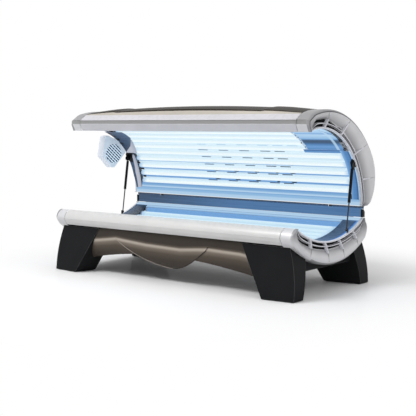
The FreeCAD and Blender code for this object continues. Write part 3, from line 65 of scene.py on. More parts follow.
def at(x, y, z):
    """A place in millimetres from the middle of the feet, as a point of the frame."""
    return Vector((x / 1000.0, (y - frame_shift) / 1000.0, z / 1000.0))


def polar(centre, radius, degrees):
    """A (y, z) place on a circle about a (y, z) centre."""
    a = math.radians(degrees)
    return (centre[0] + radius * math.cos(a), centre[1] + radius * math.sin(a))


def arc(centre, radius, start, end, steps):
    return [polar(centre, radius, start + (end - start) * i / steps) for i in range(steps + 1)]


def along(table, value):
    """Straight-line reading of a short table of (place, value) pairs, in rising order."""
    if value <= table[0][0]:
        return table[0][1]
    for (a, va), (b, vb) in zip(table, table[1:]):
        if value <= b:
            return va + (vb - va) * (value - a) / (b - a)
    return table[-1][1]


print("frame shift in mm", round(frame_shift, 2))

# %% [markdown]
# ## Effects that many finishes share
# Moulded plastic, lacquer and rolled metal all have a fine texture, a slow drift of tone, rubbed
# edges and a little dust on top; the paler edges are partly a painted highlight, plainest on the black
# legs. Each effect is a node group with named sockets, built once. A group gives back only masks and
# heights, and the shader that uses them stays in each material.

# %% A helper that builds node groups


def new_group(name, inputs, outputs):
    """An empty shader group with float inputs (name, value) and float outputs."""
    tree = bpy.data.node_groups.new(name, "ShaderNodeTree")
    for label, value in inputs:
        socket = tree.interface.new_socket(name=label, in_out="INPUT", socket_type="NodeSocketFloat")
        socket.default_value = value
    for label in outputs:
        tree.interface.new_socket(name=label, in_out="OUTPUT", socket_type="NodeSocketFloat")
    return tree, tree.nodes.new("NodeGroupInput"), tree.nodes.new("NodeGroupOutput")


def node(tree, kind, **settings):
    made = tree.nodes.new(kind)
    for key, value in settings.items():
        setattr(made, key, value)
    return made


def plug(tree, socket, value):
    """Gives an input a plain number, a colour or the output of another node."""
    if isinstance(value, (int, float)):
        socket.default_value = value
    elif isinstance(value, tuple):
        socket.default_value = (*value, 1.0)
    else:
        tree.links.new(value, socket)


def plug_all(tree, target, **values):
    """Several named inputs of a node at once, with _ for the spaces in a name."""
    for label, value in values.items():
        plug(tree, target.inputs[label.replace("_", " ")], value)


def maths(tree, operation, a, b=None, clamp=False):
    """One math step. a and b are sockets or plain numbers."""
    made = node(tree, "ShaderNodeMath", operation=operation, use_clamp=clamp)
    plug(tree, made.inputs[0], a)
    if b is not None:
        plug(tree, made.inputs[1], b)
    return made.outputs[0]


def spread(tree, value, low, high, to_low=0.0, to_high=1.0):
    """A value between low and high, mapped smoothly onto another range."""
    made = node(tree, "ShaderNodeMapRange", interpolation_type="SMOOTHSTEP")
    plug_all(tree, made, Value=value, From_Min=low, From_Max=high, To_Min=to_low, To_Max=to_high)
    return made.outputs["Result"]


def place_of(tree):
    """Splits the place on a piece into the outputs X, Y and Z, in metres of the frame."""
    spot = node(tree, "ShaderNodeTexCoord")
    parts = node(tree, "ShaderNodeSeparateXYZ")
    tree.links.new(spot.outputs["Object"], parts.inputs[0])
    return parts


# %% Fine grain: the texture of moulded and lacquered faces
grain_group, grain_in, grain_out = new_group("fine grain", [("Size", 900.0), ("Drift", 6.0)],
                                             ["Height", "Drift"])
place = node(grain_group, "ShaderNodeTexCoord")
fine = node(grain_group, "ShaderNodeTexNoise")
slow = node(grain_group, "ShaderNodeTexNoise")
for noise, label, detail in ((fine, "Size", 2.0), (slow, "Drift", 3.0)):
    noise.inputs["Detail"].default_value = detail
    grain_group.links.new(place.outputs["Object"], noise.inputs["Vector"])
    grain_group.links.new(grain_in.outputs[label], noise.inputs["Scale"])
grain_group.links.new(fine.outputs["Fac"], grain_out.inputs["Height"])
grain_group.links.new(spread(grain_group, slow.outputs["Fac"], 0.3, 0.7), grain_out.inputs["Drift"])

# %% Rubbed edges and painted edge highlights: where the rounded normal leaves the flat one
worn_and_lit_edge_group, edge_in, edge_out = new_group("worn and painted-highlight edges", [("Width", 0.004)], ["Edge"])
rounded = node(worn_and_lit_edge_group, "ShaderNodeBevel", samples=4)
flat = node(worn_and_lit_edge_group, "ShaderNodeNewGeometry")
compare = node(worn_and_lit_edge_group, "ShaderNodeVectorMath", operation="DOT_PRODUCT")
worn_and_lit_edge_group.links.new(edge_in.outputs["Width"], rounded.inputs["Radius"])
worn_and_lit_edge_group.links.new(rounded.outputs["Normal"], compare.inputs[0])
worn_and_lit_edge_group.links.new(flat.outputs["Normal"], compare.inputs[1])
worn_and_lit_edge_group.links.new(spread(worn_and_lit_edge_group, compare.outputs["Value"], 0.98, 0.75), edge_out.inputs["Edge"])

# %% Dust: a thin veil on faces that look up
dust_group, dust_in, dust_out = new_group("dust on top", [("Amount", 0.3)], ["Dust"])
facing = node(dust_group, "ShaderNodeNewGeometry")
parts = node(dust_group, "ShaderNodeSeparateXYZ")
specks = node(dust_group, "ShaderNodeTexNoise")
spot = node(dust_group, "ShaderNodeTexCoord")
specks.inputs["Scale"].default_value = 35.0
specks.inputs["Detail"].default_value = 6.0
dust_group.links.new(spot.outputs["Object"], specks.inputs["Vector"])
dust_group.links.new(facing.outputs["Normal"], parts.inputs[0])
upward = spread(dust_group, parts.outputs["Z"], 0.5, 1.0)
patchy = spread(dust_group, specks.outputs["Fac"], 0.4, 0.7)
veil = maths(dust_group, "MULTIPLY", upward, patchy)
dust_group.links.new(maths(dust_group, "MULTIPLY", veil, dust_in.outputs["Amount"]), dust_out.inputs["Dust"])

# %% Place round a lamp field: how near a point is to the gap between two tubes
gap_group, gap_in, gap_out = new_group("gap between tubes", [("Axis Y", 0.0), ("Axis Z", 0.0), ("First", 0.0),
                                                             ("Pitch", 1.0)], ["Gap", "Angle"])
parts = place_of(gap_group)
across = maths(gap_group, "SUBTRACT", parts.outputs["Y"], gap_in.outputs["Axis Y"])
above = maths(gap_group, "SUBTRACT", parts.outputs["Z"], gap_in.outputs["Axis Z"])
turn = maths(gap_group, "MULTIPLY", maths(gap_group, "ARCTAN2", above, across), 180.0 / math.pi)
rows_up = maths(gap_group, "DIVIDE", maths(gap_group, "SUBTRACT", turn, gap_in.outputs["First"]),
                gap_in.outputs["Pitch"])
gap_group.links.new(maths(gap_group, "MULTIPLY", maths(gap_group, "PINGPONG", rows_up, 0.5), 2.0),
                    gap_out.inputs["Gap"])
gap_group.links.new(turn, gap_out.inputs["Angle"])

# %% Long streaks: the drawn look of glass tubes and rolled sheet along the bed
streak_group, streak_in, streak_out = new_group("long streaks", [("Size", 70.0)], ["Streak"])
spot = node(streak_group, "ShaderNodeTexCoord")
stretch = node(streak_group, "ShaderNodeMapping")
stretch.inputs["Scale"].default_value = (0.02, 1.0, 1.0)
lines = node(streak_group, "ShaderNodeTexNoise")
lines.inputs["Detail"].default_value = 3.0
streak_group.links.new(spot.outputs["Object"], stretch.inputs["Vector"])
streak_group.links.new(stretch.outputs["Vector"], lines.inputs["Vector"])
streak_group.links.new(streak_in.outputs["Size"], lines.inputs["Scale"])
streak_group.links.new(spread(streak_group, lines.outputs["Fac"], 0.3, 0.7), streak_out.inputs["Streak"])
print("groups", [g.name for g in bpy.data.node_groups])

# %% [markdown]
# ## Finishes
# Nearly every face of the bed is a lacquer, a moulded plastic or a painted metal. They differ in
# tone, gloss and texture, but are built the same way: two near tones mixed by the slow drift, paler
# rubbed edges that are partly a painted highlight, dust on top, and a fine bump. One maker function
# takes those values.

# %% A material that starts from the shared effects


def blend_colours(tree, factor, first, second):
    """Mixes two colours by a mask. The mask is a number or a socket, each colour a tuple or a socket."""
    mix = node(tree, "ShaderNodeMix", data_type="RGBA")
    plug(tree, mix.inputs["Factor"], factor)
    plug(tree, mix.inputs[6], first)
    plug(tree, mix.inputs[7], second)
    return mix.outputs[2]


def use_group(tree, group, **values):
    made = node(tree, "ShaderNodeGroup", node_tree=group)
    plug_all(tree, made, **values)
    return made


def tone(red, green, blue):
    """A colour as a display shows it (0 to 255), in the linear numbers that shaders use."""
    return tuple(((c / 255.0 + 0.055) / 1.055) ** 2.4 if c > 10 else c / 3294.6
                 for c in (red, green, blue))


def colour_steps(tree, value, stops):
    """Colours along a value, from (value, colour) pairs in rising order."""
    low, high = stops[0][0], stops[-1][0]
    scaled = node(tree, "ShaderNodeMapRange")
    plug_all(tree, scaled, Value=value, From_Min=low, From_Max=high)
    made = node(tree, "ShaderNodeValToRGB")
    ends = made.color_ramp.elements
    ends[0].color = (*stops[0][1], 1.0)
    ends[1].color = (*stops[-1][1], 1.0)
    for place, colour in stops[1:-1]:
        ends.new((place - low) / (high - low)).color = (*colour, 1.0)
    tree.links.new(scaled.outputs["Result"], made.inputs["Fac"])
    return made.outputs["Color"]


def start_material(name):
    """A new material, with its tree and its shader at hand."""
    material = bpy.data.materials.new(name)
    material.use_nodes = True
    tree = material.node_tree
    return material, tree, tree.nodes["Principled BSDF"]


def named_copy(material, name):
    made = material.copy()
    made.name = name
    return made


def add_relief(tree, shader, height, strength, distance):
    """A fine bump that follows a height."""
    relief = node(tree, "ShaderNodeBump")
    plug_all(tree, relief, Height=height, Strength=strength, Distance=distance)
    tree.links.new(relief.outputs["Normal"], shader.inputs["Normal"])


def lacquer(name, main_tone, drift_tone, worn_and_lit_edge_tone, rough=(0.3, 0.4), metallic=0.0, grain=900.0,
            bump=0.00002, edge=0.003, dust=0.25, coat=0.0, specular=0.5):
    """A moulded, lacquered or painted finish with drift, rubbed edges that are partly a painted highlight,
    dust and grain.
    """
    material, tree, shader = start_material(name)
    texture = use_group(tree, grain_group, Size=grain, Drift=5.0)
    worn_and_lit_edges = use_group(tree, worn_and_lit_edge_group, Width=edge)
    dusty = use_group(tree, dust_group, Amount=dust)
    colour = blend_colours(tree, texture.outputs["Drift"], main_tone, drift_tone)
    colour = blend_colours(tree, worn_and_lit_edges.outputs["Edge"], colour, worn_and_lit_edge_tone)
    colour = blend_colours(tree, dusty.outputs["Dust"], colour, (0.42, 0.41, 0.40))
    gloss = spread(tree, texture.outputs["Height"], 0.25, 0.75, *rough)
    plug_all(tree, shader, Base_Color=colour, Metallic=metallic, Coat_Weight=coat, Coat_Roughness=0.08,
             Specular_IOR_Level=specular,
             Roughness=maths(tree, "ADD", gloss, dusty.outputs["Dust"], clamp=True))
    add_relief(tree, shader, texture.outputs["Height"], 0.6, bump)
    return material


# %% The plain finishes
silver = lacquer("silver lacquer", (0.57, 0.565, 0.60), (0.53, 0.525, 0.56), (0.68, 0.68, 0.72),
                 rough=(0.4, 0.5), metallic=0.1, grain=1400.0, specular=0.35)
ring_silver = lacquer("moulded silver", (0.64, 0.64, 0.66), (0.59, 0.59, 0.61), (0.74, 0.74, 0.76),
                      rough=(0.34, 0.44), metallic=0.15, grain=1400.0, coat=0.1)
# The roll and outside wall of the rings: the same moulding in painted shade.
wall_painted_shade_silver = lacquer("moulded silver, outside", (0.30, 0.30, 0.31), (0.27, 0.27, 0.28), (0.42, 0.42, 0.43),
                      rough=(0.4, 0.5), metallic=0.1, grain=1400.0)
rim_white = lacquer("pale rim", (0.74, 0.75, 0.80), (0.70, 0.71, 0.77), (0.85, 0.86, 0.90),
                    rough=(0.3, 0.4), grain=1200.0)
slot_black = lacquer("slot black", (0.004, 0.004, 0.005), (0.007, 0.007, 0.008), (0.012, 0.012, 0.012),
                     rough=(0.6, 0.8), dust=0.0, specular=0.05)
rail_pale = lacquer("pale silver rail", (0.63, 0.625, 0.62), (0.59, 0.587, 0.585), (0.9, 0.9, 0.9),
                    rough=(0.32, 0.42), metallic=0.1, grain=1400.0, coat=0.1)
seam_grey = lacquer("seam shadow", (0.16, 0.16, 0.17), (0.12, 0.12, 0.13), (0.2, 0.2, 0.2),
                    rough=(0.6, 0.7), dust=0.0, specular=0.2)
# On the black legs the pale edge tone is a painted highlight along the creases and edges.
leg_black = lacquer("leg black", (0.0105, 0.011, 0.012), (0.0125, 0.013, 0.014), (0.15, 0.15, 0.155),
                    rough=(0.5, 0.62), grain=1600.0, bump=0.00006, edge=0.004, dust=0.05, specular=0.06)
pad_black = lacquer("glide rubber", (0.012, 0.012, 0.012), (0.018, 0.018, 0.018), (0.05, 0.05, 0.05),
                    rough=(0.75, 0.9), dust=0.4, specular=0.2)
part_black = lacquer("black fittings", (0.006, 0.006, 0.007), (0.009, 0.009, 0.010), (0.03, 0.03, 0.033),
                     rough=(0.28, 0.4), edge=0.0015, dust=0.03, specular=0.1)
pan_grey = lacquer("pan grey", (0.085, 0.080, 0.077), (0.072, 0.068, 0.066), (0.15, 0.15, 0.15),
                   rough=(0.55, 0.7), grain=700.0, bump=0.0001, specular=0.3)
frame_black = lacquer("powder coat", (0.035, 0.035, 0.038), (0.045, 0.045, 0.048), (0.2, 0.2, 0.2),
                      rough=(0.5, 0.65), grain=2200.0, bump=0.00008)
box_grey = lacquer("box grey", (0.30, 0.30, 0.31), (0.26, 0.26, 0.27), (0.4, 0.4, 0.4), rough=(0.5, 0.6))
steel = lacquer("zinc steel", (0.50, 0.50, 0.51), (0.42, 0.42, 0.44), (0.7, 0.7, 0.7), rough=(0.25, 0.4),
                metallic=1.0, edge=0.001, dust=0.05)
dark_rod = lacquer("nitrided rod", (0.045, 0.045, 0.05), (0.03, 0.03, 0.034), (0.1, 0.1, 0.11),
                   rough=(0.2, 0.3), metallic=0.8, edge=0.001, dust=0.0)
pod_grey_painted_glow = lacquer("pod grey, painted glow", (0.72, 0.73, 0.77), (0.67, 0.68, 0.72), (0.82, 0.83, 0.86),
                   rough=(0.35, 0.45), edge=0.003)
# The pod glows a little: painted light of the tubes on its faces.
plug_all(pod_grey_painted_glow.node_tree, pod_grey_painted_glow.node_tree.nodes["Principled BSDF"],
         Emission_Color=(0.52, 0.62, 0.72), Emission_Strength=0.28)
control_dark = lacquer("control parts", (0.035, 0.04, 0.055), (0.045, 0.05, 0.065), (0.2, 0.22, 0.26),
                       rough=(0.3, 0.4), edge=0.0015)
print("materials", len(bpy.data.materials))

# %% [markdown]
# The rail of the canopy is one extrusion with a recessed band along its front. The band is part of
# the same metal, so its painted shade is chosen by height: between the two edges of the recess the
# tone drops to a mid grey. Mixing by place keeps the piece whole, instead of laying a strip on it.

# %% The canopy's rail with its band of painted shade


def band_by_height(material, low, high, band_tone, soft=0.0005):
    """Gives a material another tone between two heights of the frame, in metres."""
    tree = material.node_tree
    shader = tree.nodes["Principled BSDF"]
    old = shader.inputs["Base Color"].links[0].from_socket
    height = place_of(tree).outputs["Z"]
    inside = maths(tree, "MULTIPLY", spread(tree, height, low - soft, low + soft),
                   spread(tree, height, high + soft, high - soft))
    tree.links.new(blend_colours(tree, inside, old, band_tone), shader.inputs["Base Color"])


band_low, band_high = 1.1835, 1.2095
silver_painted_band_shade = named_copy(silver, "silver lacquer, painted band shade")
band_by_height(silver_painted_band_shade, band_low, band_high, (0.27, 0.27, 0.27))
print("band from", band_low, "to", band_high, "m")

# %% [markdown]
# Bronze lacquer is a brown coat with metal flakes: it turns pale where it faces the light and nearly
# black where it turns away. The cover, its front strip and the lines on the wave's edge are small or
# even enough for plain lacquers with a little metal in them, each in its own depth of brown. The
# front strip's champagne is a painted reflection, the pale line on the wave's edge a painted highlight
# and the dark line beside it painted shade.

# %% Bronze
# Painted shade of the rail's recessed band, where it carries on round the rings' front.
band_painted_shade_grey = lacquer("band grey, painted shade", (0.27, 0.27, 0.27), (0.25, 0.25, 0.25), (0.35, 0.35, 0.35),
                    rough=(0.4, 0.5))
# The front strip's champagne is a painted reflection on the bronze.
champagne = lacquer("champagne edge, painted reflection", (0.45, 0.415, 0.365), (0.42, 0.39, 0.345), (0.7, 0.66, 0.6),
                    rough=(0.45, 0.55), metallic=0.1, grain=2600.0, specular=0.3)
# A painted highlight and painted shade for the two lines along the wave's edge.
bronze_painted_highlight = lacquer("bronze, painted highlight", (0.34, 0.30, 0.26), (0.30, 0.265, 0.23), (0.5, 0.45, 0.4),
                      rough=(0.3, 0.4), metallic=0.4, grain=2600.0, dust=0.0)
bronze_painted_shade = lacquer("bronze, painted shade", (0.022, 0.018, 0.015), (0.028, 0.023, 0.019), (0.05, 0.04, 0.035),
                       rough=(0.5, 0.6), grain=2600.0, dust=0.0, specular=0.1)
cover_brown = lacquer("brown cover", (0.024, 0.019, 0.014), (0.020, 0.016, 0.012), (0.10, 0.09, 0.08),
                      rough=(0.45, 0.55), metallic=0.2, grain=2600.0, edge=0.0015, dust=0.0, specular=0.12)
print("bronze made")

# %% [markdown]
# The skirt has a crease along its length, and its light and shade are painted in. Above the crease,
# where it leans in, the painted tone is nearly black, the crease carries a thin painted highlight, and
# below it the tone runs from warm grey back to dark. The crease rises and falls along the bed, so the
# finish first reads its height at each place along the bed, and then picks the tone by the distance
# above or below it.

# %% Bronze with its crease, and painted highlight and shade


def bronze_painted_by_crease(name, crease, tones, grain=2600.0):
    """Bronze with painted highlight and shade, whose tone follows the height above or below a crease, given
    as (x, z) pairs in mm.
    """
    material, tree, shader = start_material(name)
    parts = place_of(tree)
    texture = use_group(tree, grain_group, Size=grain, Drift=5.0)
    heights = colour_steps(tree, parts.outputs["X"], [(x / 1000.0, (z / 1000.0,) * 3) for x, z in crease])
    above = maths(tree, "SUBTRACT", parts.outputs["Z"], heights)
    colour = colour_steps(tree, above, tones)
    fleck = blend_colours(tree, maths(tree, "MULTIPLY", texture.outputs["Height"], 0.2), colour,
                          tone(130, 118, 105))
    plug_all(tree, shader, Base_Color=fleck, Metallic=0.15, Specular_IOR_Level=0.2,
             Roughness=spread(tree, texture.outputs["Height"], 0.25, 0.75, 0.4, 0.5))
    add_relief(tree, shader, texture.outputs["Height"], 0.5, 0.00002)
    return material


skirt_crease = [(-862.0, 250.0), (-779.0, 264.0), (-508.0, 299.0), (-192.0, 276.0), (139.0, 269.0),
                (401.0, 292.0), (686.0, 284.0), (862.0, 262.0)]
# Painted tones by distance from the crease: a painted highlight on it, painted shade above and below.
skirt_painted_tones = [(-0.18, tone(36, 31, 27)), (-0.10, tone(50, 43, 37)), (-0.05, tone(74, 66, 58)),
               (-0.02, tone(116, 107, 97)), (-0.004, tone(176, 166, 155)), (0.003, tone(170, 160, 149)),
               (0.012, tone(84, 76, 68)), (0.026, tone(34, 29, 25)), (0.10, tone(20, 17, 14))]
skirt_bronze_painted_light = bronze_painted_by_crease("bronze skirt", skirt_crease, skirt_painted_tones)
print("crease points", len(skirt_crease))

# %% [markdown]
# ## Light: tubes, reflector and clear sheets
# The tubes are lit. A glowing tube is an emission near full white with a hint of cyan, and it stays
# at about 1 so that it doesn't burn out. The last 8 mm of the canopy's tubes and 14 mm of the bench's
# are metal caps, in a dull grey blue. The reflector behind them is bright rolled metal; the tubes'
# images beside them are a painted reflection that glows, and only a narrow line half way between two
# tubes stays blue.

# %% Faces that show the tubes' light
dome_axis = (-141.0, 582.0)
dome_r = 568.0
dome_pitch = 6.85
bench_axis = (0.0, 1247.0)
bench_r = 881.0
bench_pitch = math.degrees(71.0 / 913.5)  # 71 mm between tubes whose axes lie 913.5 mm from the bench's


def place_parts(tree, axis, first=0.0, pitch=1.0):
    """The group that gives gap and angle round an axis, and the place along the bed."""
    field = use_group(tree, gap_group, Axis_Y=(axis[0] - frame_shift) / 1000.0, Axis_Z=axis[1] / 1000.0,
                      First=first, Pitch=pitch)
    return field, place_of(tree)


def show_light(tree, shader, colour, share, streak, size, base=0.15):
    """The colour glows by its share, with fine streaks along the bed.

    The base colour takes only its own small share, so that lit faces don't burn out."""
    texture = use_group(tree, streak_group, Size=size)
    drawn = maths(tree, "MULTIPLY", texture.outputs["Streak"], streak)
    softened = blend_colours(tree, drawn, colour, tone(120, 165, 215))
    plug_all(tree, shader, Emission_Color=softened, Emission_Strength=share, Specular_IOR_Level=0.15,
             Base_Color=blend_colours(tree, base, tone(10, 14, 18), softened),
             Roughness=spread(tree, texture.outputs["Streak"], 0.0, 1.0, 0.25, 0.4))


# %% Lamp tubes


def lamp_material(name, cap_from, axis, first, pitch, core, limb, unlit_from=None):
    """Glowing glass: white along its middle, bluer at its limb and near its ends."""
    material, tree, shader = start_material(name)
    field, parts = place_parts(tree, axis, first, pitch)
    glow = blend_colours(tree, spread(tree, field.outputs["Gap"], 0.2, 0.62), core, limb)
    out = maths(tree, "ABSOLUTE", parts.outputs["X"])
    glow = blend_colours(tree, spread(tree, out, cap_from - 0.055, cap_from), glow, tone(176, 208, 236))
    if unlit_from is not None:
        aside = maths(tree, "ABSOLUTE", maths(tree, "ADD", field.outputs["Angle"], 90.0))
        glow = blend_colours(tree, spread(tree, aside, unlit_from - 0.1, unlit_from + 0.1), glow,
                             tone(112, 161, 215))
    cap = maths(tree, "GREATER_THAN", out, cap_from)
    glow = blend_colours(tree, cap, glow, tone(120, 140, 165))
    show_light(tree, shader, glow, 0.97, 0.08, 60.0, base=0.03)
    return material


canopy_lamp = lamp_material("canopy tubes", 1.050, dome_axis, 10.0, dome_pitch, tone(244, 254, 255),
                            tone(216, 239, 250))
bench_lamp = lamp_material("bench tubes", 0.971, bench_axis, -90.0, bench_pitch, tone(217, 241, 251),
                           tone(198, 228, 245), unlit_from=24.4)


# %% Reflectors with the tubes' glow in them


def reflector_material(name, axis, first, pitch, near, high_gap, low_gap, low_from, low_to):
    """Bright metal that glows with a painted reflection of the tubes, and a blue line half way between two
    tubes.
    """
    material, tree, shader = start_material(name)
    field, parts = place_parts(tree, axis, first, pitch)
    tone_gap = blend_colours(tree, spread(tree, field.outputs["Angle"], low_from, low_to), high_gap, low_gap)
    middle = spread(tree, field.outputs["Gap"], 0.60, 0.92)
    glow = blend_colours(tree, middle, near, tone_gap)
    show_light(tree, shader, glow, 0.85, 0.2, 120.0)
    shader.inputs["Metallic"].default_value = 0.4
    return material


canopy_glow = reflector_material("canopy reflector", dome_axis, 10.0, dome_pitch, tone(225, 245, 253),
                                 tone(150, 188, 226), tone(112, 160, 215), 34.0, 16.0)
bench_glow = reflector_material("bench reflector", bench_axis, -90.0, bench_pitch, tone(205, 232, 247),
                                tone(158, 198, 233), tone(112, 161, 215), -66.5, -65.0)
print("lamp pitch on the bench in degrees", round(bench_pitch, 3))

# %% [markdown]
# Round the tube fields lie trims and end panels of blue and grey plastic. They have little colour of
# their own: what shows is the tubes' light in them, which changes from one edge to the other. One
# palette of blues and greys serves all of them. Each finish picks its tones by the place round the
# field or along the bed, and glows with most of it.

# %% Faces beside the tubes
PALETTE = {"night": tone(4, 6, 10), "ink": tone(20, 30, 46), "navy": tone(46, 62, 86),
           "slate": tone(66, 88, 116), "denim": tone(60, 98, 150), "steel": tone(84, 124, 170),
           "azure": tone(86, 136, 192), "vivid": tone(50, 110, 200), "mid": tone(112, 160, 214),
           "sky": tone(150, 192, 230), "pale": tone(188, 218, 242), "ice": tone(226, 241, 250),
           "white": tone(242, 245, 248), "haze": tone(150, 162, 182), "mist": tone(196, 198, 208),
           "dusk": tone(92, 108, 128)}


def palette_steps(tree, value, stops):
    """Tones of the palette along a value, from (value, tone's name) pairs."""
    return colour_steps(tree, value, [(v, PALETTE[c]) for v, c in stops])


def lit_by_place(name, stops, axis=None, share=0.8, base=0.15):
    """Glow by angle round an axis (degrees), or along the bed (metres) when no axis is given."""
    material, tree, shader = start_material(name)
    if axis:
        value = place_parts(tree, axis)[0].outputs["Angle"]
    else:
        value = place_of(tree).outputs["X"]
    show_light(tree, shader, palette_steps(tree, value, stops), share, 0.12, 150.0, base)
    return material


sill_lit = lit_by_place("canopy sill", [
    (-0.5, "white"), (0.0, "white"), (0.15, "pale"), (2.0, "pale"), (3.2, "sky"), (4.6, "sky"),
    (4.7, "mid"), (4.9, "mid"), (5.2, "pale"), (6.3, "pale"), (6.5, "sky"), (8.7, "mid"),
    (9.1, "sky")], dome_axis)
ledge_lit = lit_by_place("bench ledge", [
    (-63.9, "sky"), (-62.1, "pale"), (-61.98, "azure"), (-61.8, "azure"), (-61.7, "pale"),
    (-59.4, "pale"), (-59.1, "ice")], bench_axis)
bench_panel_lit = lit_by_place("bench end panels", [
    (-1.1195, "slate"), (-1.09, "navy"), (-1.0, "night"), (-0.98, "night"), (0.98, "navy"), (1.082, "slate"),
    (1.088, "ink"), (1.096, "vivid"), (1.106, "mid"), (1.1195, "pale")])
left_panel_lit = lit_by_place("left panel", [(-1.14, "navy"), (-1.10, "slate"), (-1.06, "dusk")])
lavender_lit = lit_by_place("left reveal", [(-1.11, "mist"), (-1.08, "mist"), (-1.05, "haze")])
right_panel_lit = lit_by_place("right panel", [
    (1.044, "sky"), (1.060, "mid"), (1.077, "azure"), (1.092, "azure"), (1.106, "denim"), (1.111, "denim"),
    (1.113, "pale"), (1.1195, "pale")])
duct_lit = lit_by_place("duct cover", [(-1.115, "ink"), (-1.06, "navy"), (-0.918, "slate")])
wedge_lit = lit_by_place("duct flank", [(-1.11, "mist"), (-1.03, "mist"), (-0.94, "haze")])
strip_lit = lit_by_place("steel blue strip", [(-1.118, "slate"), (-0.9, "slate"), (0.0, "steel"),
                                              (1.118, "steel")], share=0.7, base=0.2)
window_sill_lit = lit_by_place("window sill", [(43.2, "azure"), (44.9, "mid"), (45.2, "denim"),
                                               (46.6, "azure")], dome_axis)
slot_glow_mark = lit_by_place("air slot marks, painted glow", [(-0.5, "denim"), (0.5, "navy")])
high_slot_glow_mark = lit_by_place("high air slot marks, painted glow", [(-0.5, "sky"), (0.7, "sky")])
rim_line_lit = lit_by_place("rim line", [(1.02, "denim"), (1.11, "denim")])
print("faces beside the tubes made")

# %% [markdown]
# The facial tanner's window is blue filter glass over small burners. Its look is painted in as glow:
# a painted reflection of the lit field on its upper part, a dark band where its reflector box begins,
# painted glints on its faceted free edge, and a paler painted streak near the head end.

# %% Filter window
window_lit, tree, shader = start_material("filter window")
field, parts = place_parts(tree, dome_axis)
glow = palette_steps(tree, field.outputs["Angle"], [
    (46.4, "azure"), (49.9, "mid"), (52.0, "azure"), (55.3, "navy"), (58.4, "slate"), (59.4, "mid"),
    (60.6, "sky"), (67.0, "pale"), (68.8, "mid"), (70.2, "sky"), (76.0, "pale"), (106.0, "pale")])
streak_here = maths(tree, "MULTIPLY", spread(tree, parts.outputs["X"], 1.020, 1.028),
                    spread(tree, parts.outputs["X"], 1.052, 1.044))
glow = blend_colours(tree, maths(tree, "MULTIPLY", streak_here, 0.8), glow, tone(190, 219, 241))
# Painted glints on the faceted free edge.
facets = node(tree, "ShaderNodeTexVoronoi")
facets.inputs["Scale"].default_value = 110.0
spot = node(tree, "ShaderNodeTexCoord")
tree.links.new(spot.outputs["Object"], facets.inputs["Vector"])
painted_glint_colour = blend_colours(tree, spread(tree, facets.outputs["Distance"], 0.42, 0.62), tone(228, 242, 251),
                             tone(96, 130, 172))
free_edge = spread(tree, parts.outputs["X"], 0.779, 0.772)
glow = blend_colours(tree, free_edge, glow, painted_glint_colour)
show_light(tree, shader, glow, 0.8, 0.15, 90.0)
print("window made")

# %% [markdown]
# The body-fan's nozzle blows through a louvre of slanted slats with a few thin cross bars. The slats
# are close together, so they are drawn by place on the louvre's dish: pale bars with dark gaps, both
# glowing with the tubes' light painted in.

# %% Louvre finish


def bars_by_place(tree, parts, turn, pitch, duty):
    """Mask of parallel bars in the (y, z) plane. Turn in degrees, pitch in metres."""
    a = math.radians(turn)
    across = maths(tree, "ADD", maths(tree, "MULTIPLY", parts.outputs["Y"], math.sin(a)),
                   maths(tree, "MULTIPLY", parts.outputs["Z"], math.cos(a)))
    wave = maths(tree, "MULTIPLY", maths(tree, "PINGPONG", maths(tree, "DIVIDE", across, pitch), 0.5), 2.0)
    return spread(tree, wave, duty + 0.08, duty - 0.08)


louvre_lit, tree, shader = start_material("louvre")
parts = place_of(tree)
slats = bars_by_place(tree, parts, 36.5, 0.0215, 0.40)
cross = bars_by_place(tree, parts, -50.0, 0.034, 0.10)
pattern = maths(tree, "MAXIMUM", slats, cross)
glow = blend_colours(tree, pattern, tone(30, 42, 64), tone(212, 232, 246))
show_light(tree, shader, glow, 0.85, 0.05, 90.0, base=0.45)
print("louvre made")

# %% Clear sheets


def clear_sheet(name, tint, alpha):
    """Acrylic: nearly all light passes, with fine wipe marks in its gloss."""
    material, tree, shader = start_material(name)
    texture = use_group(tree, grain_group, Size=60.0, Drift=3.0)
    colour = blend_colours(tree, texture.outputs["Drift"], tint, tuple(0.9 * c for c in tint))
    plug_all(tree, shader, Base_Color=colour, Alpha=alpha, IOR=1.49, Specular_IOR_Level=0.2,
             Roughness=spread(tree, texture.outputs["Height"], 0.3, 0.7, 0.05, 0.12))
    return material


canopy_clear = clear_sheet("canopy acrylic", (0.45, 0.62, 0.80), 0.015)
bench_clear = clear_sheet("bench acrylic", (0.40, 0.55, 0.72), 0.025)
print("sheets made")

# %% [markdown]
# ## A helper for curved skins
# Every skin that follows is a grid: rows of points that run one way, joined to their neighbours.
# Bands of faces along a row can take different finishes. Near points are merged, so a row may
# close to a single point. Smooth shading with a sharpening angle keeps folds crisp.

# %% Build a skin from rows of points


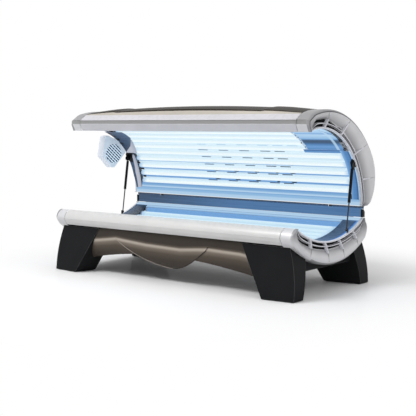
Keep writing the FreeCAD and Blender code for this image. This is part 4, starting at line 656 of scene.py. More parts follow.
def skin(name, grids, finishes, bands=None, sharp=32.0, outward=None, repaint=None):
    """Mesh object from one or more grids, each a list of rows of points.

    bands gives the finish number of each column of faces. repaint, given a face's middle and
    number, may return another one."""
    bm = bmesh.new()
    for rows in grids:
        grid = [[bm.verts.new(p) for p in row] for row in rows]
        for row, following in zip(grid, grid[1:]):
            for i in range(len(row) - 1):
                face = bm.faces.new((row[i], row[i + 1], following[i + 1], following[i]))
                face.material_index = bands[i] if bands else 0
    bmesh.ops.remove_doubles(bm, verts=bm.verts, dist=0.00002)
    bmesh.ops.dissolve_degenerate(bm, dist=0.00001, edges=bm.edges)
    if repaint:
        for face in bm.faces:
            face.material_index = repaint(face.calc_center_median(), face.material_index)
    if outward is not None:
        lean = sum((f.normal.dot(f.calc_center_median() - outward) * f.calc_area() for f in bm.faces), 0.0)
        if lean < 0.0:
            bmesh.ops.reverse_faces(bm, faces=bm.faces)
    mesh = bpy.data.meshes.new(name)
    bm.to_mesh(mesh)
    bm.free()
    for finish in finishes:
        mesh.materials.append(finish)
    mesh.shade_smooth()
    mesh.set_sharp_from_angle(angle=math.radians(sharp))
    made = bpy.data.objects.new(name, mesh)
    scene.collection.objects.link(made)
    return made


def other_end(made, name):
    """The same skin, mirrored to the foot end of the bed."""
    mesh = made.data.copy()
    mesh.name = name
    bm = bmesh.new()
    bm.from_mesh(mesh)
    for vertex in bm.verts:
        vertex.co.x = -vertex.co.x
    bmesh.ops.reverse_faces(bm, faces=bm.faces)
    bm.to_mesh(mesh)
    bm.free()
    twin = bpy.data.objects.new(name, mesh)
    scene.collection.objects.link(twin)
    return twin


print("helper ready")

# %% [markdown]
# ## The end rings
# Each end of the tub and of the canopy is closed by a big moulded ring. Round its rim runs a narrow
# lip, then two channels with black openings and a thin ring between them, then a broad scooped face
# that rolls over into the outside wall. Such a shape is a sweep whose section changes as it goes, so
# it is built from stations: at each one a section is laid out between the rim and the outside.

# %% Outlines of the two rings, from the front corner of the rim round to the back one
crown_axis, crown_r = (-60.0, 530.0), 754.0
crown_front, crown_end, back_end = 104.2, 33.0, -36.0  # degrees where its first two arcs begin and end
back_r, heel_r = 290.0, 70.0
heel_z = 577.0
brow_angle = 106.26
bench_half_angle = 30.87
brow_inner = polar(dome_axis, dome_r, brow_angle)


def step(p, dy, dz):
    return (p[0] + dy, p[1] + dz)


def crown_line(rise, steps=(40, 26, 10)):
    """Outer face of the canopy from its front strip to its heel."""
    r = crown_r + rise
    back = polar(crown_axis, r - back_r, crown_end)
    heel = polar(back, back_r - heel_r, back_end)
    return (arc(crown_axis, r, crown_front, crown_end, steps[0])
            + arc(back, back_r, crown_end, back_end, steps[1])[1:]
            + arc(heel, heel_r, back_end, -90.0, steps[2])[1:])


chin = step(brow_inner, -33.0, 53.7)
ridge = step(brow_inner, -31.0, 84.7)
strip_foot = step(brow_inner, 32.0, 124.7)
brow = [brow_inner, step(brow_inner, -5.0, 1.7), chin, step(chin, 0.2, 3.0), step(ridge, -0.2, -3.0),
        ridge, strip_foot]
dome_start = -0.5
dome_heel = (polar(dome_axis, dome_r, dome_start)[0], heel_z)
canopy_outline = brow + crown_line(0.0) + [(dome_heel[0] + 78.0, heel_z), dome_heel]
bench_start, bench_end = -90.0 - bench_half_angle, -90.0 + bench_half_angle
bench_front = polar(bench_axis, bench_r, bench_start)
bench_back = polar(bench_axis, bench_r, bench_end)


def circle_through(p, q, r):
    """Centre and radius of the circle through three places."""
    ax, ay, bx, by = q[0] - p[0], q[1] - p[1], r[0] - p[0], r[1] - p[1]
    d = 2.0 * (ax * by - ay * bx)
    ux = (by * (ax * ax + ay * ay) - ay * (bx * bx + by * by)) / d
    uy = (ax * (bx * bx + by * by) - bx * (ax * ax + ay * ay)) / d
    return (p[0] + ux, p[1] + uy), math.hypot(ux, uy)


def angle_about(axis, p):
    """Direction from an axis to a place, in degrees."""
    return math.degrees(math.atan2(p[1] - axis[1], p[0] - axis[0]))


rail_top, rail_shoulder = step(bench_front, -14.0, -4.2), step(bench_front, -48.0, -28.2)
rail_nose, rail_lip = step(bench_front, -65.0, -65.2), step(bench_front, -53.0, -92.2)
nose_axis, nose_r = circle_through(rail_top, rail_shoulder, rail_nose)
nose_line = arc(nose_axis, nose_r, angle_about(nose_axis, rail_top),
                angle_about(nose_axis, rail_nose) % 360.0, 10)
belly_axis, belly_r = (21.0, 1008.0), 812.0
belly_end, belly_back_r, belly_top_r, belly_top_end = -57.6, 92.0, 60.0, 62.0
belly_from = -90.0 - math.degrees(math.asin((belly_axis[0] - bench_front[0] + 34.0) / belly_r))
belly_back = polar(belly_axis, belly_r - belly_back_r, belly_end)
belly_top = (belly_back[0] + (belly_back_r - belly_top_r), belly_back[1])
belly_line = (arc(belly_axis, belly_r, belly_from, belly_end, 44)
              + arc(belly_back, belly_back_r, belly_end, 0.0, 12)[1:]
              + arc(belly_top, belly_top_r, 0.0, belly_top_end, 10)[1:])
tub_outline = [bench_front] + nose_line + [rail_lip] + belly_line + [bench_back]
print("outline points", len(canopy_outline), len(tub_outline))

# %% Stations between the rim and the outline


def walk(points, longest=14.0):
    """The same line with its long pieces cut shorter, and the distance run so far."""
    line, run = [points[0]], [0.0]
    for p, q in zip(points, points[1:]):
        length = math.dist(p, q)
        pieces = max(1, int(length / longest))
        for k in range(1, pieces + 1):
            line.append((p[0] + (q[0] - p[0]) * k / pieces, p[1] + (q[1] - p[1]) * k / pieces))
            run.append(run[-1] + length / pieces)
    return line, run


def stations(outline, axis, front, first_ray, last_ray, back, ray_step=1.3):
    """Pairs (angle on the rim, point of the outline), spread like a fan at the two ends."""
    line, run = walk(outline)
    turns = [angle_about(axis, p) for p in line]
    sign = 1.0 if back > front else -1.0
    start = next(i for i, t in enumerate(turns) if i > 3 and (t - first_ray) * sign >= 0.0
                 and run[i] > 150.0)
    stop = next(i for i, t in enumerate(turns) if i > start and (t - last_ray) * sign >= 0.0)
    pairs = []
    for i in range(start):
        pairs.append((front + (turns[start] - front) * run[i] / run[start], line[i]))
    count = int(abs(turns[stop] - turns[start]) / ray_step)
    for k in range(count):
        angle = turns[start] + (turns[stop] - turns[start]) * k / count
        j = next(i for i in range(start, stop) if (turns[i + 1] - angle) * sign >= 0.0)
        share = (angle - turns[j]) / (turns[j + 1] - turns[j])
        pairs.append((angle, (line[j][0] + (line[j + 1][0] - line[j][0]) * share,
                              line[j][1] + (line[j + 1][1] - line[j][1]) * share)))
    for i in range(stop, len(line)):
        share = (run[i] - run[stop]) / (run[-1] - run[stop])
        pairs.append((turns[stop] + (back - turns[stop]) * share, line[i]))
    return pairs


canopy_stations = stations(canopy_outline, dome_axis, brow_angle, 95.0, 9.0, dome_start)
tub_stations = stations(tub_outline, bench_axis, bench_start, -117.0, -63.0, bench_end)
print("stations", len(canopy_stations), len(tub_stations))

# %% [markdown]
# The section is a list of (distance from the rim, place along the bed). The lip, the two channels and
# the scoop keep their sizes, while the flat face behind them stretches to meet the roll of the outer
# edge. Towards the two tips of a ring the channels squeeze together and rise to just below the lip.

# %% Sections of the rings
face_x = 1150.0
roll_r = 28.0
seam_x = 1043.5
least_length = 125.0
recess = 6.0
# The band and the outside wall of a ring take finishes in painted shade.
SILVER, PALE, BLACK, SEAM, BAND_SHADE, WALL_SHADE = 0, 1, 2, 3, 4, 5


def ring_section(length, opening, taper, rise, edge_line):
    """Section at one station: (distance, x) pairs and the finish of each band between them."""
    floor = 1136.0 - 24.0 * taper
    inner = [(14.0, 1119.0), (0.0, 1119.0), (0.0, 1133.0), (3.0, 1137.0), (9.0, 1137.0), (12.0, 1134.0)]
    bands = [SILVER, PALE, PALE, PALE, PALE, PALE]
    squeeze = 0.25 + 0.75 * taper
    channel = [(12.5, floor), (32.5, floor), (33.0, 1131.0), (35.0, 1134.5), (40.0, 1134.5), (42.0, 1131.0),
               (42.5, floor), (opening, floor), (opening + 1.5, floor + 9.0)]
    bands += [BLACK, SILVER, SILVER, PALE, SILVER, SILVER, BLACK, SILVER]
    inner += [(12.0 + (d - 12.0) * squeeze, x) for d, x in channel]
    begin = inner[-1][0]
    end = min(begin + rise, length - roll_r - 2.0)
    for share in (0.2, 0.42, 0.66, 0.85, 1.0):
        swell = math.sin(0.5 * math.pi * share) ** 0.9
        inner.append((begin + (end - begin) * share, (floor + 9.0) + (face_x - floor - 9.0) * swell))
        bands.append(SILVER)
    flat_end = length - roll_r
    inner.append((0.5 * (end + flat_end), face_x + 0.3))
    bands.append(SILVER)
    for a in (0.0, 15.0, 32.0, 50.0, 70.0, 90.0):
        inner.append((flat_end + roll_r * math.sin(math.radians(a)),
                      face_x - roll_r + roll_r * math.cos(math.radians(a))))
        bands.append(SEAM if edge_line and a == 32.0 else SILVER if a < 40.0 else WALL_SHADE)
    inner += [(length, 1112.0), (length, seam_x), (length - 4.0, seam_x)]
    bands += [WALL_SHADE, WALL_SHADE, SEAM]
    return inner, bands


def silver_with_painted_scoop_shade(name, axis, near, far):
    """The rings' silver, with painted shade at the foot of the scoop beside the openings."""
    made = named_copy(ring_silver, name)
    tree = made.node_tree
    shader = tree.nodes["Principled BSDF"]
    old = shader.inputs["Base Color"].links[0].from_socket
    parts = place_of(tree)
    out_y = maths(tree, "SUBTRACT", parts.outputs["Y"], (axis[0] - frame_shift) / 1000.0)
    out_z = maths(tree, "SUBTRACT", parts.outputs["Z"], axis[1] / 1000.0)
    reach = maths(tree, "SQRT", maths(tree, "ADD", maths(tree, "MULTIPLY", out_y, out_y),
                                      maths(tree, "MULTIPLY", out_z, out_z)))
    scoop_shade_mask = maths(tree, "MULTIPLY", spread(tree, reach, far, near),
                 maths(tree, "GREATER_THAN", maths(tree, "ABSOLUTE", parts.outputs["X"]), 1.125))
    tree.links.new(blend_colours(tree, scoop_shade_mask, old, (0.27, 0.27, 0.285)), shader.inputs["Base Color"])
    return made


def ring(name, pairs, axis, rim_r, openings, tapers, rise, face, groove=None, wall_from=-280.0,
         wall_top=1183.0):
    """A whole end ring from its stations. Its outside wall is in painted shade and pale only at the low
    front.
    """
    rows = []
    for angle, outer in pairs:
        rim = polar(axis, rim_r, angle)
        length = math.dist(rim, outer)
        shrink = min(1.0, length / least_length)
        section, bands = ring_section(max(length, least_length), along(openings, angle),
                                      along(tapers, angle), rise, groove is not None)
        if length > 0.01:
            out = ((outer[0] - rim[0]) / length, (outer[1] - rim[1]) / length)
        else:
            out = (0.0, 0.0)
        grooved = groove and groove[0] < outer[1] < groove[1] and outer[0] < groove[2]
        row = []
        for i, (d, x) in enumerate(section):
            y, z = rim[0] + out[0] * d * shrink, rim[1] + out[1] * d * shrink
            if grooved and i >= len(section) - 2:
                y += recess
            row.append(at(x, y, z))
        rows.append(row)

    def repaint(middle, finish):
        """The recessed band of the rail carries on round the ring's front in painted shade, and the outside
        wall's painted shade gives way to silver at the low front.
        """
        if groove and groove[0] < 1000.0 * middle.z < groove[1] and middle.y < at(0.0, groove[2], 0.0).y:
            return BAND_SHADE if finish in (SILVER, WALL_SHADE) and middle.x < 1.12 else finish
        if finish == WALL_SHADE and middle.y < at(0.0, wall_from, 0.0).y and 1000.0 * middle.z < wall_top:
            return SILVER
        return finish

    middle = at(900.0, *polar(axis, rim_r + 60.0, 0.5 * (pairs[0][0] + pairs[-1][0])))
    return skin(name, [rows], [face, rim_white, slot_black, seam_grey, band_painted_shade_grey, wall_painted_shade_silver], bands,
                sharp=38.0, outward=middle, repaint=repaint)


canopy_openings = [(-1.0, 44.0), (18.0, 44.0), (19.5, 54.0), (24.0, 44.0), (39.0, 44.0), (41.0, 56.0),
                   (46.0, 44.0), (56.0, 46.0), (64.0, 58.0), (66.0, 58.0), (70.0, 48.0), (76.0, 58.0),
                   (86.0, 70.0), (88.0, 64.0), (100.0, 60.0), (104.0, 52.0)]
canopy_tapers = [(-1.0, 0.0), (2.0, 1.0), (96.0, 1.0), (104.0, 0.0)]
tub_openings = [(-121.0, 56.0), (-64.0, 60.0)]
tub_tapers = [(-120.5, 0.0), (-116.5, 0.9), (-114.0, 1.0), (-63.0, 1.0), (-60.0, 0.0)]
canopy_face = silver_with_painted_scoop_shade("moulded silver, canopy", dome_axis, 0.600, 0.700)
tub_face = silver_with_painted_scoop_shade("moulded silver, tub", bench_axis, 0.930, 1.000)
canopy_ring = ring("canopy_ring_right", canopy_stations, dome_axis, dome_r, canopy_openings, canopy_tapers,
                   92.0, canopy_face, groove=(chin[1] + 1.0, ridge[1] - 1.0, -320.0))
tub_ring = ring("tub_ring_right", tub_stations, bench_axis, bench_r, tub_openings, tub_tapers, 58.0,
                tub_face)
print("ring faces", len(canopy_ring.data.polygons), len(tub_ring.data.polygons))

# %% [markdown]
# Slanted ribs cross the channels and tie the rim to the scooped face. Each one is a bar with rounded
# shoulders that starts at the lip and dies into the face, and a fine joint line carries on from it to
# the outside. They are separate skins, because a rib doesn't follow the stations.

# %% Ribs and joint lines


def bar_between(start, end, x_start, x_end, width, depth):
    """Rows of a rib from one (y, z) place to another."""
    run = math.dist(start, end)
    side = ((end[1] - start[1]) / run, -(end[0] - start[0]) / run)
    rows = []
    for k in range(7):
        t = k / 6.0
        x = x_start + (x_end - x_start) * math.sin(0.5 * math.pi * t)
        w = width * (0.5 - 0.08 * t)
        y, z = start[0] + (end[0] - start[0]) * t, start[1] + (end[1] - start[1]) * t
        offsets = [(-w, -depth), (-w, -2.0), (-w * 0.62, 0.0), (w * 0.62, 0.0), (w, -2.0), (w, -depth)]
        rows.append([at(x + dx, y + side[0] * s, z + side[1] * s) for s, dx in offsets])
    return rows


def ribs(name, axis, places):
    """Ribs from (angle, radius) to (angle, radius) places, four numbers each."""
    bars = []
    for a_in, r_in, a_out, r_out in places:
        start, end = polar(axis, r_in, a_in), polar(axis, r_out, a_out)
        bars.append(bar_between(start, end, 1138.0, 1150.6, 9.0, 26.0))
    return skin(name, bars, [rim_white], sharp=50.0)


canopy_ribs = ribs("canopy_ribs_right", dome_axis,
                   [(87.1, 575.0, 85.1, 633.0), (64.5, 573.0, 61.2, 690.0), (40.6, 575.0, 38.0, 700.0),
                    (18.8, 600.0, 16.8, 690.0)])
tub_ribs = ribs("tub_ribs_right", bench_axis,
                [(-108.6, 886.0, -107.5, 950.0), (-95.7, 886.0, -93.8, 966.0), (-83.2, 886.0, -81.7, 964.0),
                 (-70.4, 886.0, -69.6, 957.0)])


def joint_lines(name, axis, pairs, places):
    """Fine lines from the ribs' outer ends over the scooped face to its roll."""
    bars = []
    for a_in, r_in, a_out in places:
        start = polar(axis, r_in, a_in)
        outer = min(pairs, key=lambda pair: abs(angle_about(axis, pair[1]) - a_out))[1]
        run = math.dist(start, outer)
        end = tuple(s + (o - s) * (run - 24.0) / run for s, o in zip(start, outer))
        bars.append(bar_between(start, end, 1150.7, 1150.9, 2.6, 1.2))
    return skin(name, bars, [seam_grey], sharp=50.0)


canopy_joints = joint_lines("canopy_joints_right", dome_axis, canopy_stations,
                            [(85.1, 640.0, 84.0), (61.2, 688.0, 60.0), (38.0, 698.0, 36.6),
                             (16.8, 690.0, 15.8)])
tub_joints = joint_lines("tub_joints_right", bench_axis, tub_stations,
                         [(-107.5, 952.0, -107.0), (-93.8, 966.0, -93.0), (-81.7, 964.0, -81.2),
                          (-69.6, 957.0, -69.2)])
print("ribs", len(canopy_ribs.data.polygons), len(tub_ribs.data.polygons))

# %% Put the rings on their bodies
for made, body, solid in ((canopy_ring, "canopy", "canopy_end_moulding"),
                          (tub_ring, "base", "base_end_moulding")):
    twin = other_end(made, made.name.replace("right", "left"))
    for piece, end in ((made, "right"), (twin, "left")):
        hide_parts(f"{solid}_{end}", f"{body}_vent_screens")
        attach(piece, body)
for made, body in ((canopy_ribs, "canopy"), (tub_ribs, "base"), (canopy_joints, "canopy"),
                   (tub_joints, "base")):
    twin = other_end(made, made.name.replace("right", "left"))
    for piece in (made, twin):
        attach(piece, body)
print("rings placed")

# %% [markdown]
# ## The crown of the canopy
# The cover is a thin bronze shell, fuller in the middle of the bed than at its ends, with a bright
# strip along its front edge, whose champagne is a painted reflection, and a slightly raised panel near
# each end. It could be bent from flat sheet only without that fullness, so it is a grid that swells
# with its place along the bed.

# %% Cover


def crown_rise(x):
    """How far the cover stands up at a place along the bed."""
    share = abs(x) / 1040.0
    swell = 34.0 * (1.0 - share * share)
    panel = 7.0 * along([(700.0, 0.0), (735.0, 1.0), (820.0, 1.0), (1030.0, 0.0)], abs(x))
    return swell + panel


cover_steps = (36, 24, 8)
cover_rows = []
cover_x = [-1039.0 + 2078.0 * i / 64 for i in range(65)]
cover_x = sorted(set(cover_x + [-190.0, 190.0, -735.0, -720.0, -700.0, 700.0, 720.0, 735.0]))
for x in cover_x:
    rise = crown_rise(x)
    line = crown_line(rise, cover_steps)
    top = line[0]
    strip = [(strip_foot[0] + (top[0] - strip_foot[0]) * t, strip_foot[1] + (top[1] - strip_foot[1]) * t)
             for t in (0.0, 0.7, 1.0)]
    cover_rows.append([at(x, *p) for p in strip + line[1:] + [(505.0, heel_z), (502.0, heel_z + 2.0)]])
cover_bands = [1] + [0] * (len(cover_rows[0]) - 2)
cover = skin("crown_cover", [cover_rows], [cover_brown, champagne], cover_bands, sharp=20.0,
             outward=at(0.0, 0.0, 700.0))
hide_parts("canopy_cover")
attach(cover, "canopy")
print("cover faces", len(cover.data.polygons))

# %% [markdown]
# The canopy's exhaust leaves through a grille in the cover's back, low down where it isn't seen from
# the front. It is a plastic frame that follows the cover's curve, with level slats and four posts.

# %% Exhaust grille on the crown's back


def crown_back(x, z, lift):
    """Depth of the cover's back at a place along the bed and a height, in mm."""
    line = crown_line(crown_rise(x) + lift, cover_steps)
    for p, q in zip(line, line[1:]):
        if p[0] > 0.0 and q[1] <= z <= p[1]:
            return p[0] + (q[0] - p[0]) * (p[1] - z) / (p[1] - q[1])


def on_crown(places, profile):
    """Rows along the bed of a bar whose section is (height, lift) pairs."""
    return [[at(x, crown_back(x, z, lift), z) for z, lift in profile] for x in places]


grille_low, grille_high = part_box("exhaust_grille")
foot_z, head_z = 1000.0 * grille_low.z, 1000.0 * grille_high.z
half = 1000.0 * grille_high.x
across = [-half + 2.0 * half * i / 12 for i in range(13)]
grille_height = head_z - foot_z
bed = [on_crown(across, [(foot_z + grille_height * i / 8, 0.8) for i in range(9)])]
slats = [on_crown(across, [(z, 1.0), (z + 1.5, 5.0), (z + 5.0, 4.0), (z + 6.5, 1.0)])
         for z in [foot_z + (grille_height - 6.5) * k / 8 for k in range(9)]]
posts = [on_crown([x, x + 1.0, x + 5.0, x + 6.0], [(foot_z, 1.0), (foot_z + 1.0, 5.5), (head_z - 1.0, 5.5),
                                                   (head_z, 1.0)]) for x in (-half, -64.0, 58.0, half - 6.0)]
grille_bed = skin("exhaust_bed", bed, [slot_black], outward=at(0.0, 0.0, 700.0))
grille = skin("exhaust_slats", slats + posts, [part_black], outward=at(0.0, 0.0, 700.0))
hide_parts("exhaust_grille")
for made in (grille_bed, grille):
    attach(made, "canopy")
print("slats", len(slats))

# %% [markdown]
# Where the rings meet the cover, the rails and the tub there is a narrow joint. A collar lies just
# under the surface behind each joint, as the flange of the moulding does, and closes it. Its black is
# painted shade in the joint, and a black strip at the front rail's lower edge is painted shade too.

# %% Collars behind the joints


def inset(line, depth):
    """The same outline, drawn in by a small depth."""
    drawn = []
    for i, (y, z) in enumerate(line):
        before, after = line[max(i - 1, 0)], line[min(i + 1, len(line) - 1)]
        dy, dz = after[0] - before[0], after[1] - before[1]
        run = math.hypot(dy, dz) or 1.0
        drawn.append((y + depth * dz / run, z - depth * dy / run))
    return drawn


def collar(name, outline, depth, body):
    """A collar at each end of the bed, under an outline."""
    line = inset(outline, depth)
    rows = [[at(x, *place) for place in line] for x in (1030.0, 1058.0)]
    made = skin(name + "_right", [rows], [slot_black])
    for piece in (made, other_end(made, name + "_left")):
        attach(piece, body)


collar("canopy_collar", crown_line(0.0), 4.5, "canopy")
collar("tub_collar", nose_line[3:] + belly_line, -4.5, "base")
shade = skin("rail_shade", [[[at(x, y, z) for y, z in ((-452.0, 356.0), (-452.0, 384.0))]
                             for x in (-1045.0, 0.0, 1045.0)]], [slot_black])
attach(shade, "base")
print("collars placed")

# %% [markdown]
# ## The wave's edge on the skirt
# The wave-shaped plate stands a few millimetres in front of the skirt, with a rolled edge. Ribbons on
# the roll carry a thin painted highlight on its falling side and painted shade on its rising side.
# Above the crease the plate's right end is drawn back into the skirt, so that only the wave below it
# reads.

# %% The plate's own outline and its two edge lines of painted highlight and shade


def front_faces(name):
    """The faces of a solid, ready to be met by a ray."""
    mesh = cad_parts[name].data
    return BVHTree.FromPolygons([v.co for v in mesh.vertices], [tuple(p.vertices) for p in mesh.polygons])


def front_of(faces, x, z):
    """Depth of the foremost face at a place along the bed and a height, all in metres."""
    hit = faces.ray_cast(Vector((x, -3.0, z)), Vector((0.0, 1.0, 0.0)))[0]
    return hit.y if hit else None


def lower_edge(name, below):
    """Points where a plate's front face meets its underside, from left to right."""
    bm = bmesh.new()
    bm.from_mesh(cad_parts[name].data)
    bmesh.ops.remove_doubles(bm, verts=bm.verts, dist=0.00002)
    bm.normal_update()
    found = {}
    for edge in bm.edges:
        leans = sorted(face.normal.y for face in edge.link_faces)
        folded = len(leans) == 2 and leans[0] < -0.6 and abs(leans[1]) < 0.5
        if folded and max(v.co.z for v in edge.verts) < below:
            for vertex in edge.verts:
                found[round(vertex.co.x, 4)] = vertex.co.copy()
    bm.free()
    return [found[x] for x in sorted(found)]


def edge_ribbon(points, width):
    """Rows of a narrow ribbon over an edge, wrapped a little round it."""
    return [[p + Vector((0.0, 0.0, -0.0012)), p + Vector((0.0, -0.0025, -0.0008)),
             p + Vector((0.0, -0.0025, width))] for p in points]


wave = lower_edge("centre_valance", 0.31)
lowest = min(range(len(wave)), key=lambda i: wave[i].z)
painted_edge_highlight = skin("wave_edge_highlight", [edge_ribbon(wave[:lowest + 1], 0.0035)], [bronze_painted_highlight])
painted_edge_shade = skin("wave_shade", [edge_ribbon(wave[lowest:], 0.0045)], [bronze_painted_shade])
plate, skirt = front_faces("centre_valance"), front_faces("front_valance")
blend_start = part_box("centre_valance")[1].x - 0.004
blend_length, blend_top, blend_steps = 0.110, 0.368, 12
foot = wave[-1].z + 0.003
blend = []
for k in range(blend_steps + 1):
    x = blend_start + blend_length * k / blend_steps
    t = 0.5 - 0.5 * math.cos(math.pi * k / blend_steps)
    row = []
    for i in range(blend_steps + 1):
        z = foot + (blend_top - foot) * i / blend_steps
        near, far = front_of(plate, blend_start, z), front_of(skirt, x, z)
        row.append(Vector((x, near + (far - near) * t - 0.0012, z)))
    blend.append(row)
wave_blend = skin("wave_blend", [blend], [skirt_bronze_painted_light])
for made in (painted_edge_highlight, painted_edge_shade, wave_blend):
    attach(made, "base")
print("edge points", len(wave), "lowest at", [round(v, 3) for v in wave[lowest]])

# %% [markdown]
# ## Trims and panels round the tube fields
# All of them lie on the two round inner faces, so one helper lays a sheet on such a face between a
# left and a right edge. They are thin plastic sheets that clip in front of the tubes' ends and along
# the sills, and each takes the finish that was made for its place.

# %% Sheets on a round face


def sheet_rows(axis, radius, left, right, step=1.5, columns=8):
    """Rows between two edges, each a list of (angle, x) pairs in rising order."""
    low, high = max(left[0][0], right[0][0]), min(left[-1][0], right[-1][0])
    count = max(1, int((high - low) / step))
    turns = {low + (high - low) * i / count for i in range(count + 1)}
    turns |= {a for a, _ in left + right if low < a < high}
    rows = []
    for a in sorted(turns):
        x0, x1 = along(left, a), along(right, a)
        rows.append([at(x0 + (x1 - x0) * i / columns, *polar(axis, radius, a)) for i in range(columns + 1)])
    return rows


def level(x, low, high):
    """An edge that stays at one place along the bed."""
    return [(low, x), (high, x)]


def on_dome(name, radius, left, right, finish):
    """A sheet on the canopy's round face, between two edges."""
    return skin(name, [sheet_rows(dome_axis, radius, left, right)], [finish])


canopy_sill = on_dome("canopy_sill", 567.5, [(-0.5, -1119.0), (4.2, -1119.0), (4.3, -1057.0), (9.1, -1046.0)],
                      [(-0.5, 1119.0), (4.3, 1119.0), (4.4, 1046.0), (9.1, 1046.0)], sill_lit)
left_panel = on_dome("left_panel", 567.4, [(4.2, -1119.0), (15.0, -1137.0), (36.0, -1138.0)],
                     [(4.2, -1098.0), (18.0, -1106.0), (32.0, -1082.0), (36.0, -1080.0)], left_panel_lit)
left_reveal = on_dome("left_reveal", 567.2,
                      [(4.2, -1101.0), (18.0, -1108.0), (32.0, -1084.0), (36.0, -1082.0)],
                      [(4.2, -1057.0), (18.3, -1058.0), (27.5, -1052.0), (32.0, -1048.0), (36.0, -1050.0)],
                      lavender_lit)
right_panel = on_dome("right_panel", 567.2, [(4.4, 1054.0), (14.0, 1051.0), (23.4, 1048.0), (35.8, 1046.0),
                                             (46.0, 1040.0)], level(1119.0, 4.4, 46.0), right_panel_lit)
window_sill = on_dome("window_sill", 567.3, level(735.0, 43.2, 46.6), [(43.2, 1060.0), (46.6, 1086.0)],
                      window_sill_lit)
rim_line = on_dome("rim_line", 567.0, [(61.6, 1103.0), (78.3, 1022.0)], [(61.6, 1110.0), (78.3, 1028.0)],
                   rim_line_lit)
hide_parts("canopy_end_panels")

duct_cover = on_dome("duct_cover", 557.0, [(39.8, -1112.0), (72.5, -1115.0)],
                     [(39.8, -1111.0), (47.5, -1014.0), (59.5, -923.0), (72.5, -918.0)], duct_lit)
duct_flank = on_dome("duct_flank", 558.5, [(38.7, -1107.0), (47.0, -1108.0), (57.0, -975.0)],
                     [(38.7, -993.0), (56.0, -938.0), (57.0, -945.0)], wedge_lit)
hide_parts("air_duct_cover")
canopy_trims = [canopy_sill, left_panel, left_reveal, right_panel, window_sill, rim_line, duct_cover,
                duct_flank]

ledge_edge = [(-63.9, 980.0), (-62.1, 981.0), (-62.0, 1119.0), (bench_end, 1119.0)]
ledge = skin("bench_ledge", [sheet_rows(bench_axis, 880.7, [(a, -x) for a, x in ledge_edge], ledge_edge)],
             [ledge_lit])
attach(ledge, "base")

# %% Glowing air slot marks, glowing slot backs, tube clips and strut brackets


def chips(name, radius, places, height, finish):
    """Small sheets at (angle, x from, x to) places on the canopy's round face."""
    grids = [sheet_rows(dome_axis, radius, level(x0, a - height / 2, a + height / 2),
                        level(x1, a - height / 2, a + height / 2), columns=2) for a, x0, x1 in places]
    return skin(name, grids, [finish])


def slot_places(angles, middles, half_length):
    """Places of a field of slots, from the angles of its rows and the middles of its columns."""
    return [(a, x - half_length, x + half_length) for a in angles for x in middles]


# The air slot marks sit in front of the tubes, where the reflector's slots show between them, and glow with
# painted light. The chips behind the reflector's own slots glow with its painted reflection.
slots = chips("air_slot_marks", 576.5, slot_places((13.9, 21.1, 28.0, 35.3, 42.6),
                                              (-250.0, -41.0, 165.0, 367.0, 500.0), 47.0), 0.75, slot_glow_mark)
high_slots = chips("air_slot_marks_high", 576.5, slot_places((49.3,), (-228.0, -28.0, 172.0, 372.0, 512.0, 644.0),
                                                        47.0), 0.45, high_slot_glow_mark)
slot_backs_glow = chips("slot_backs_glow", 626.3,
                   slot_places((13.43, 20.28, 27.13, 33.98, 40.83, 47.7),
                               (-310.0, -105.0, 98.0, 302.0, 440.0), 56.0), 2.6, canopy_glow)
clips = chips("tube_clips", 576.5, [(33.0, -1095.0, -1060.0), (27.2, -1071.0, -1026.0),
                                    (21.4, -1050.0, -1000.0), (14.5, -1030.0, -996.0)], 1.6, part_black)
duct_clips = chips("duct_clips", 556.5, [(68.5, -1108.0, -1076.0), (62.8, -1106.0, -1074.0),
                                         (57.5, -1104.0, -1070.0), (51.0, -1104.0, -1072.0)], 2.4, part_black)
left_bracket = on_dome("left_bracket", 563.0,
                       [(27.8, -1112.0), (30.0, -1148.0), (34.0, -1151.0), (37.0, -1142.0), (38.6, -1120.0)],
                       [(27.8, -1106.0), (29.0, -1092.0), (33.0, -1080.0), (37.0, -1060.0), (38.6, -1062.0)],
                       part_black)
right_bracket = on_dome("right_bracket", 564.0,
                        [(28.2, 1106.0), (29.5, 1084.0), (34.5, 1090.0), (38.0, 1112.0)],
                        [(28.2, 1112.0), (31.0, 1116.0), (36.8, 1124.0), (38.0, 1120.0)], part_black)
fittings = [("panel_blue", canopy_trims), ("reflector", [slots, high_slots, slot_backs_glow]),
            ("holder_black", [clips, duct_clips]), ("strut_black", [left_bracket, right_bracket])]
for slot, pieces in fittings:
    for made in pieces:
        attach(made, "canopy")
print("trims and fittings", sum(len(pieces) for slot, pieces in fittings))

# %% Louvre of the nozzle
pod_low, pod_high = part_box("body_fan_louvre")
centre_y, centre_z = 0.5 * (pod_low.y + pod_high.y), 0.5 * (pod_low.z + pod_high.z)
half_wide, half_high, around = 0.093, 0.080, 64
turns = [2.0 * math.pi * i / around for i in range(around + 1)]
dish = []
for share, depth in ((0.0, 0.0), (0.5, 0.0), (0.97, 0.0), (1.0, 0.0005)):
    dish.append([Vector((pod_high.x + 0.0012 - depth, centre_y + half_wide * share * math.cos(turn),
                         centre_z + half_high * share * math.sin(turn))) for turn in turns])
louvre = skin("nozzle_louvre", [dish], [louvre_lit])
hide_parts("body_fan_louvre")
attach(louvre, "canopy")
print("louvre faces", len(louvre.data.polygons))

# %% [markdown]
# ## Finishes on the solids that stay
# The rest of the bed shows its own solids. Each gets its finish, and the edges that a hand would
# touch get a small rounded bevel, which also catches a line of light as a moulding does.

# %% Dress the solids


def dress(names, material, bevel=0.0, segments=2):
    """Gives solids a finish and, with a width in metres, rounded edges."""
    for name in names.split():
        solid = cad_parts[name]
        solid.data.materials.clear()
        solid.data.materials.append(material)
        if bevel > 0.0:
            made = solid.modifiers.new("rounded edges", "BEVEL")
            made.width = bevel
            made.segments = segments
            made.limit_method = "ANGLE"
            made.angle_limit = math.radians(30.0)


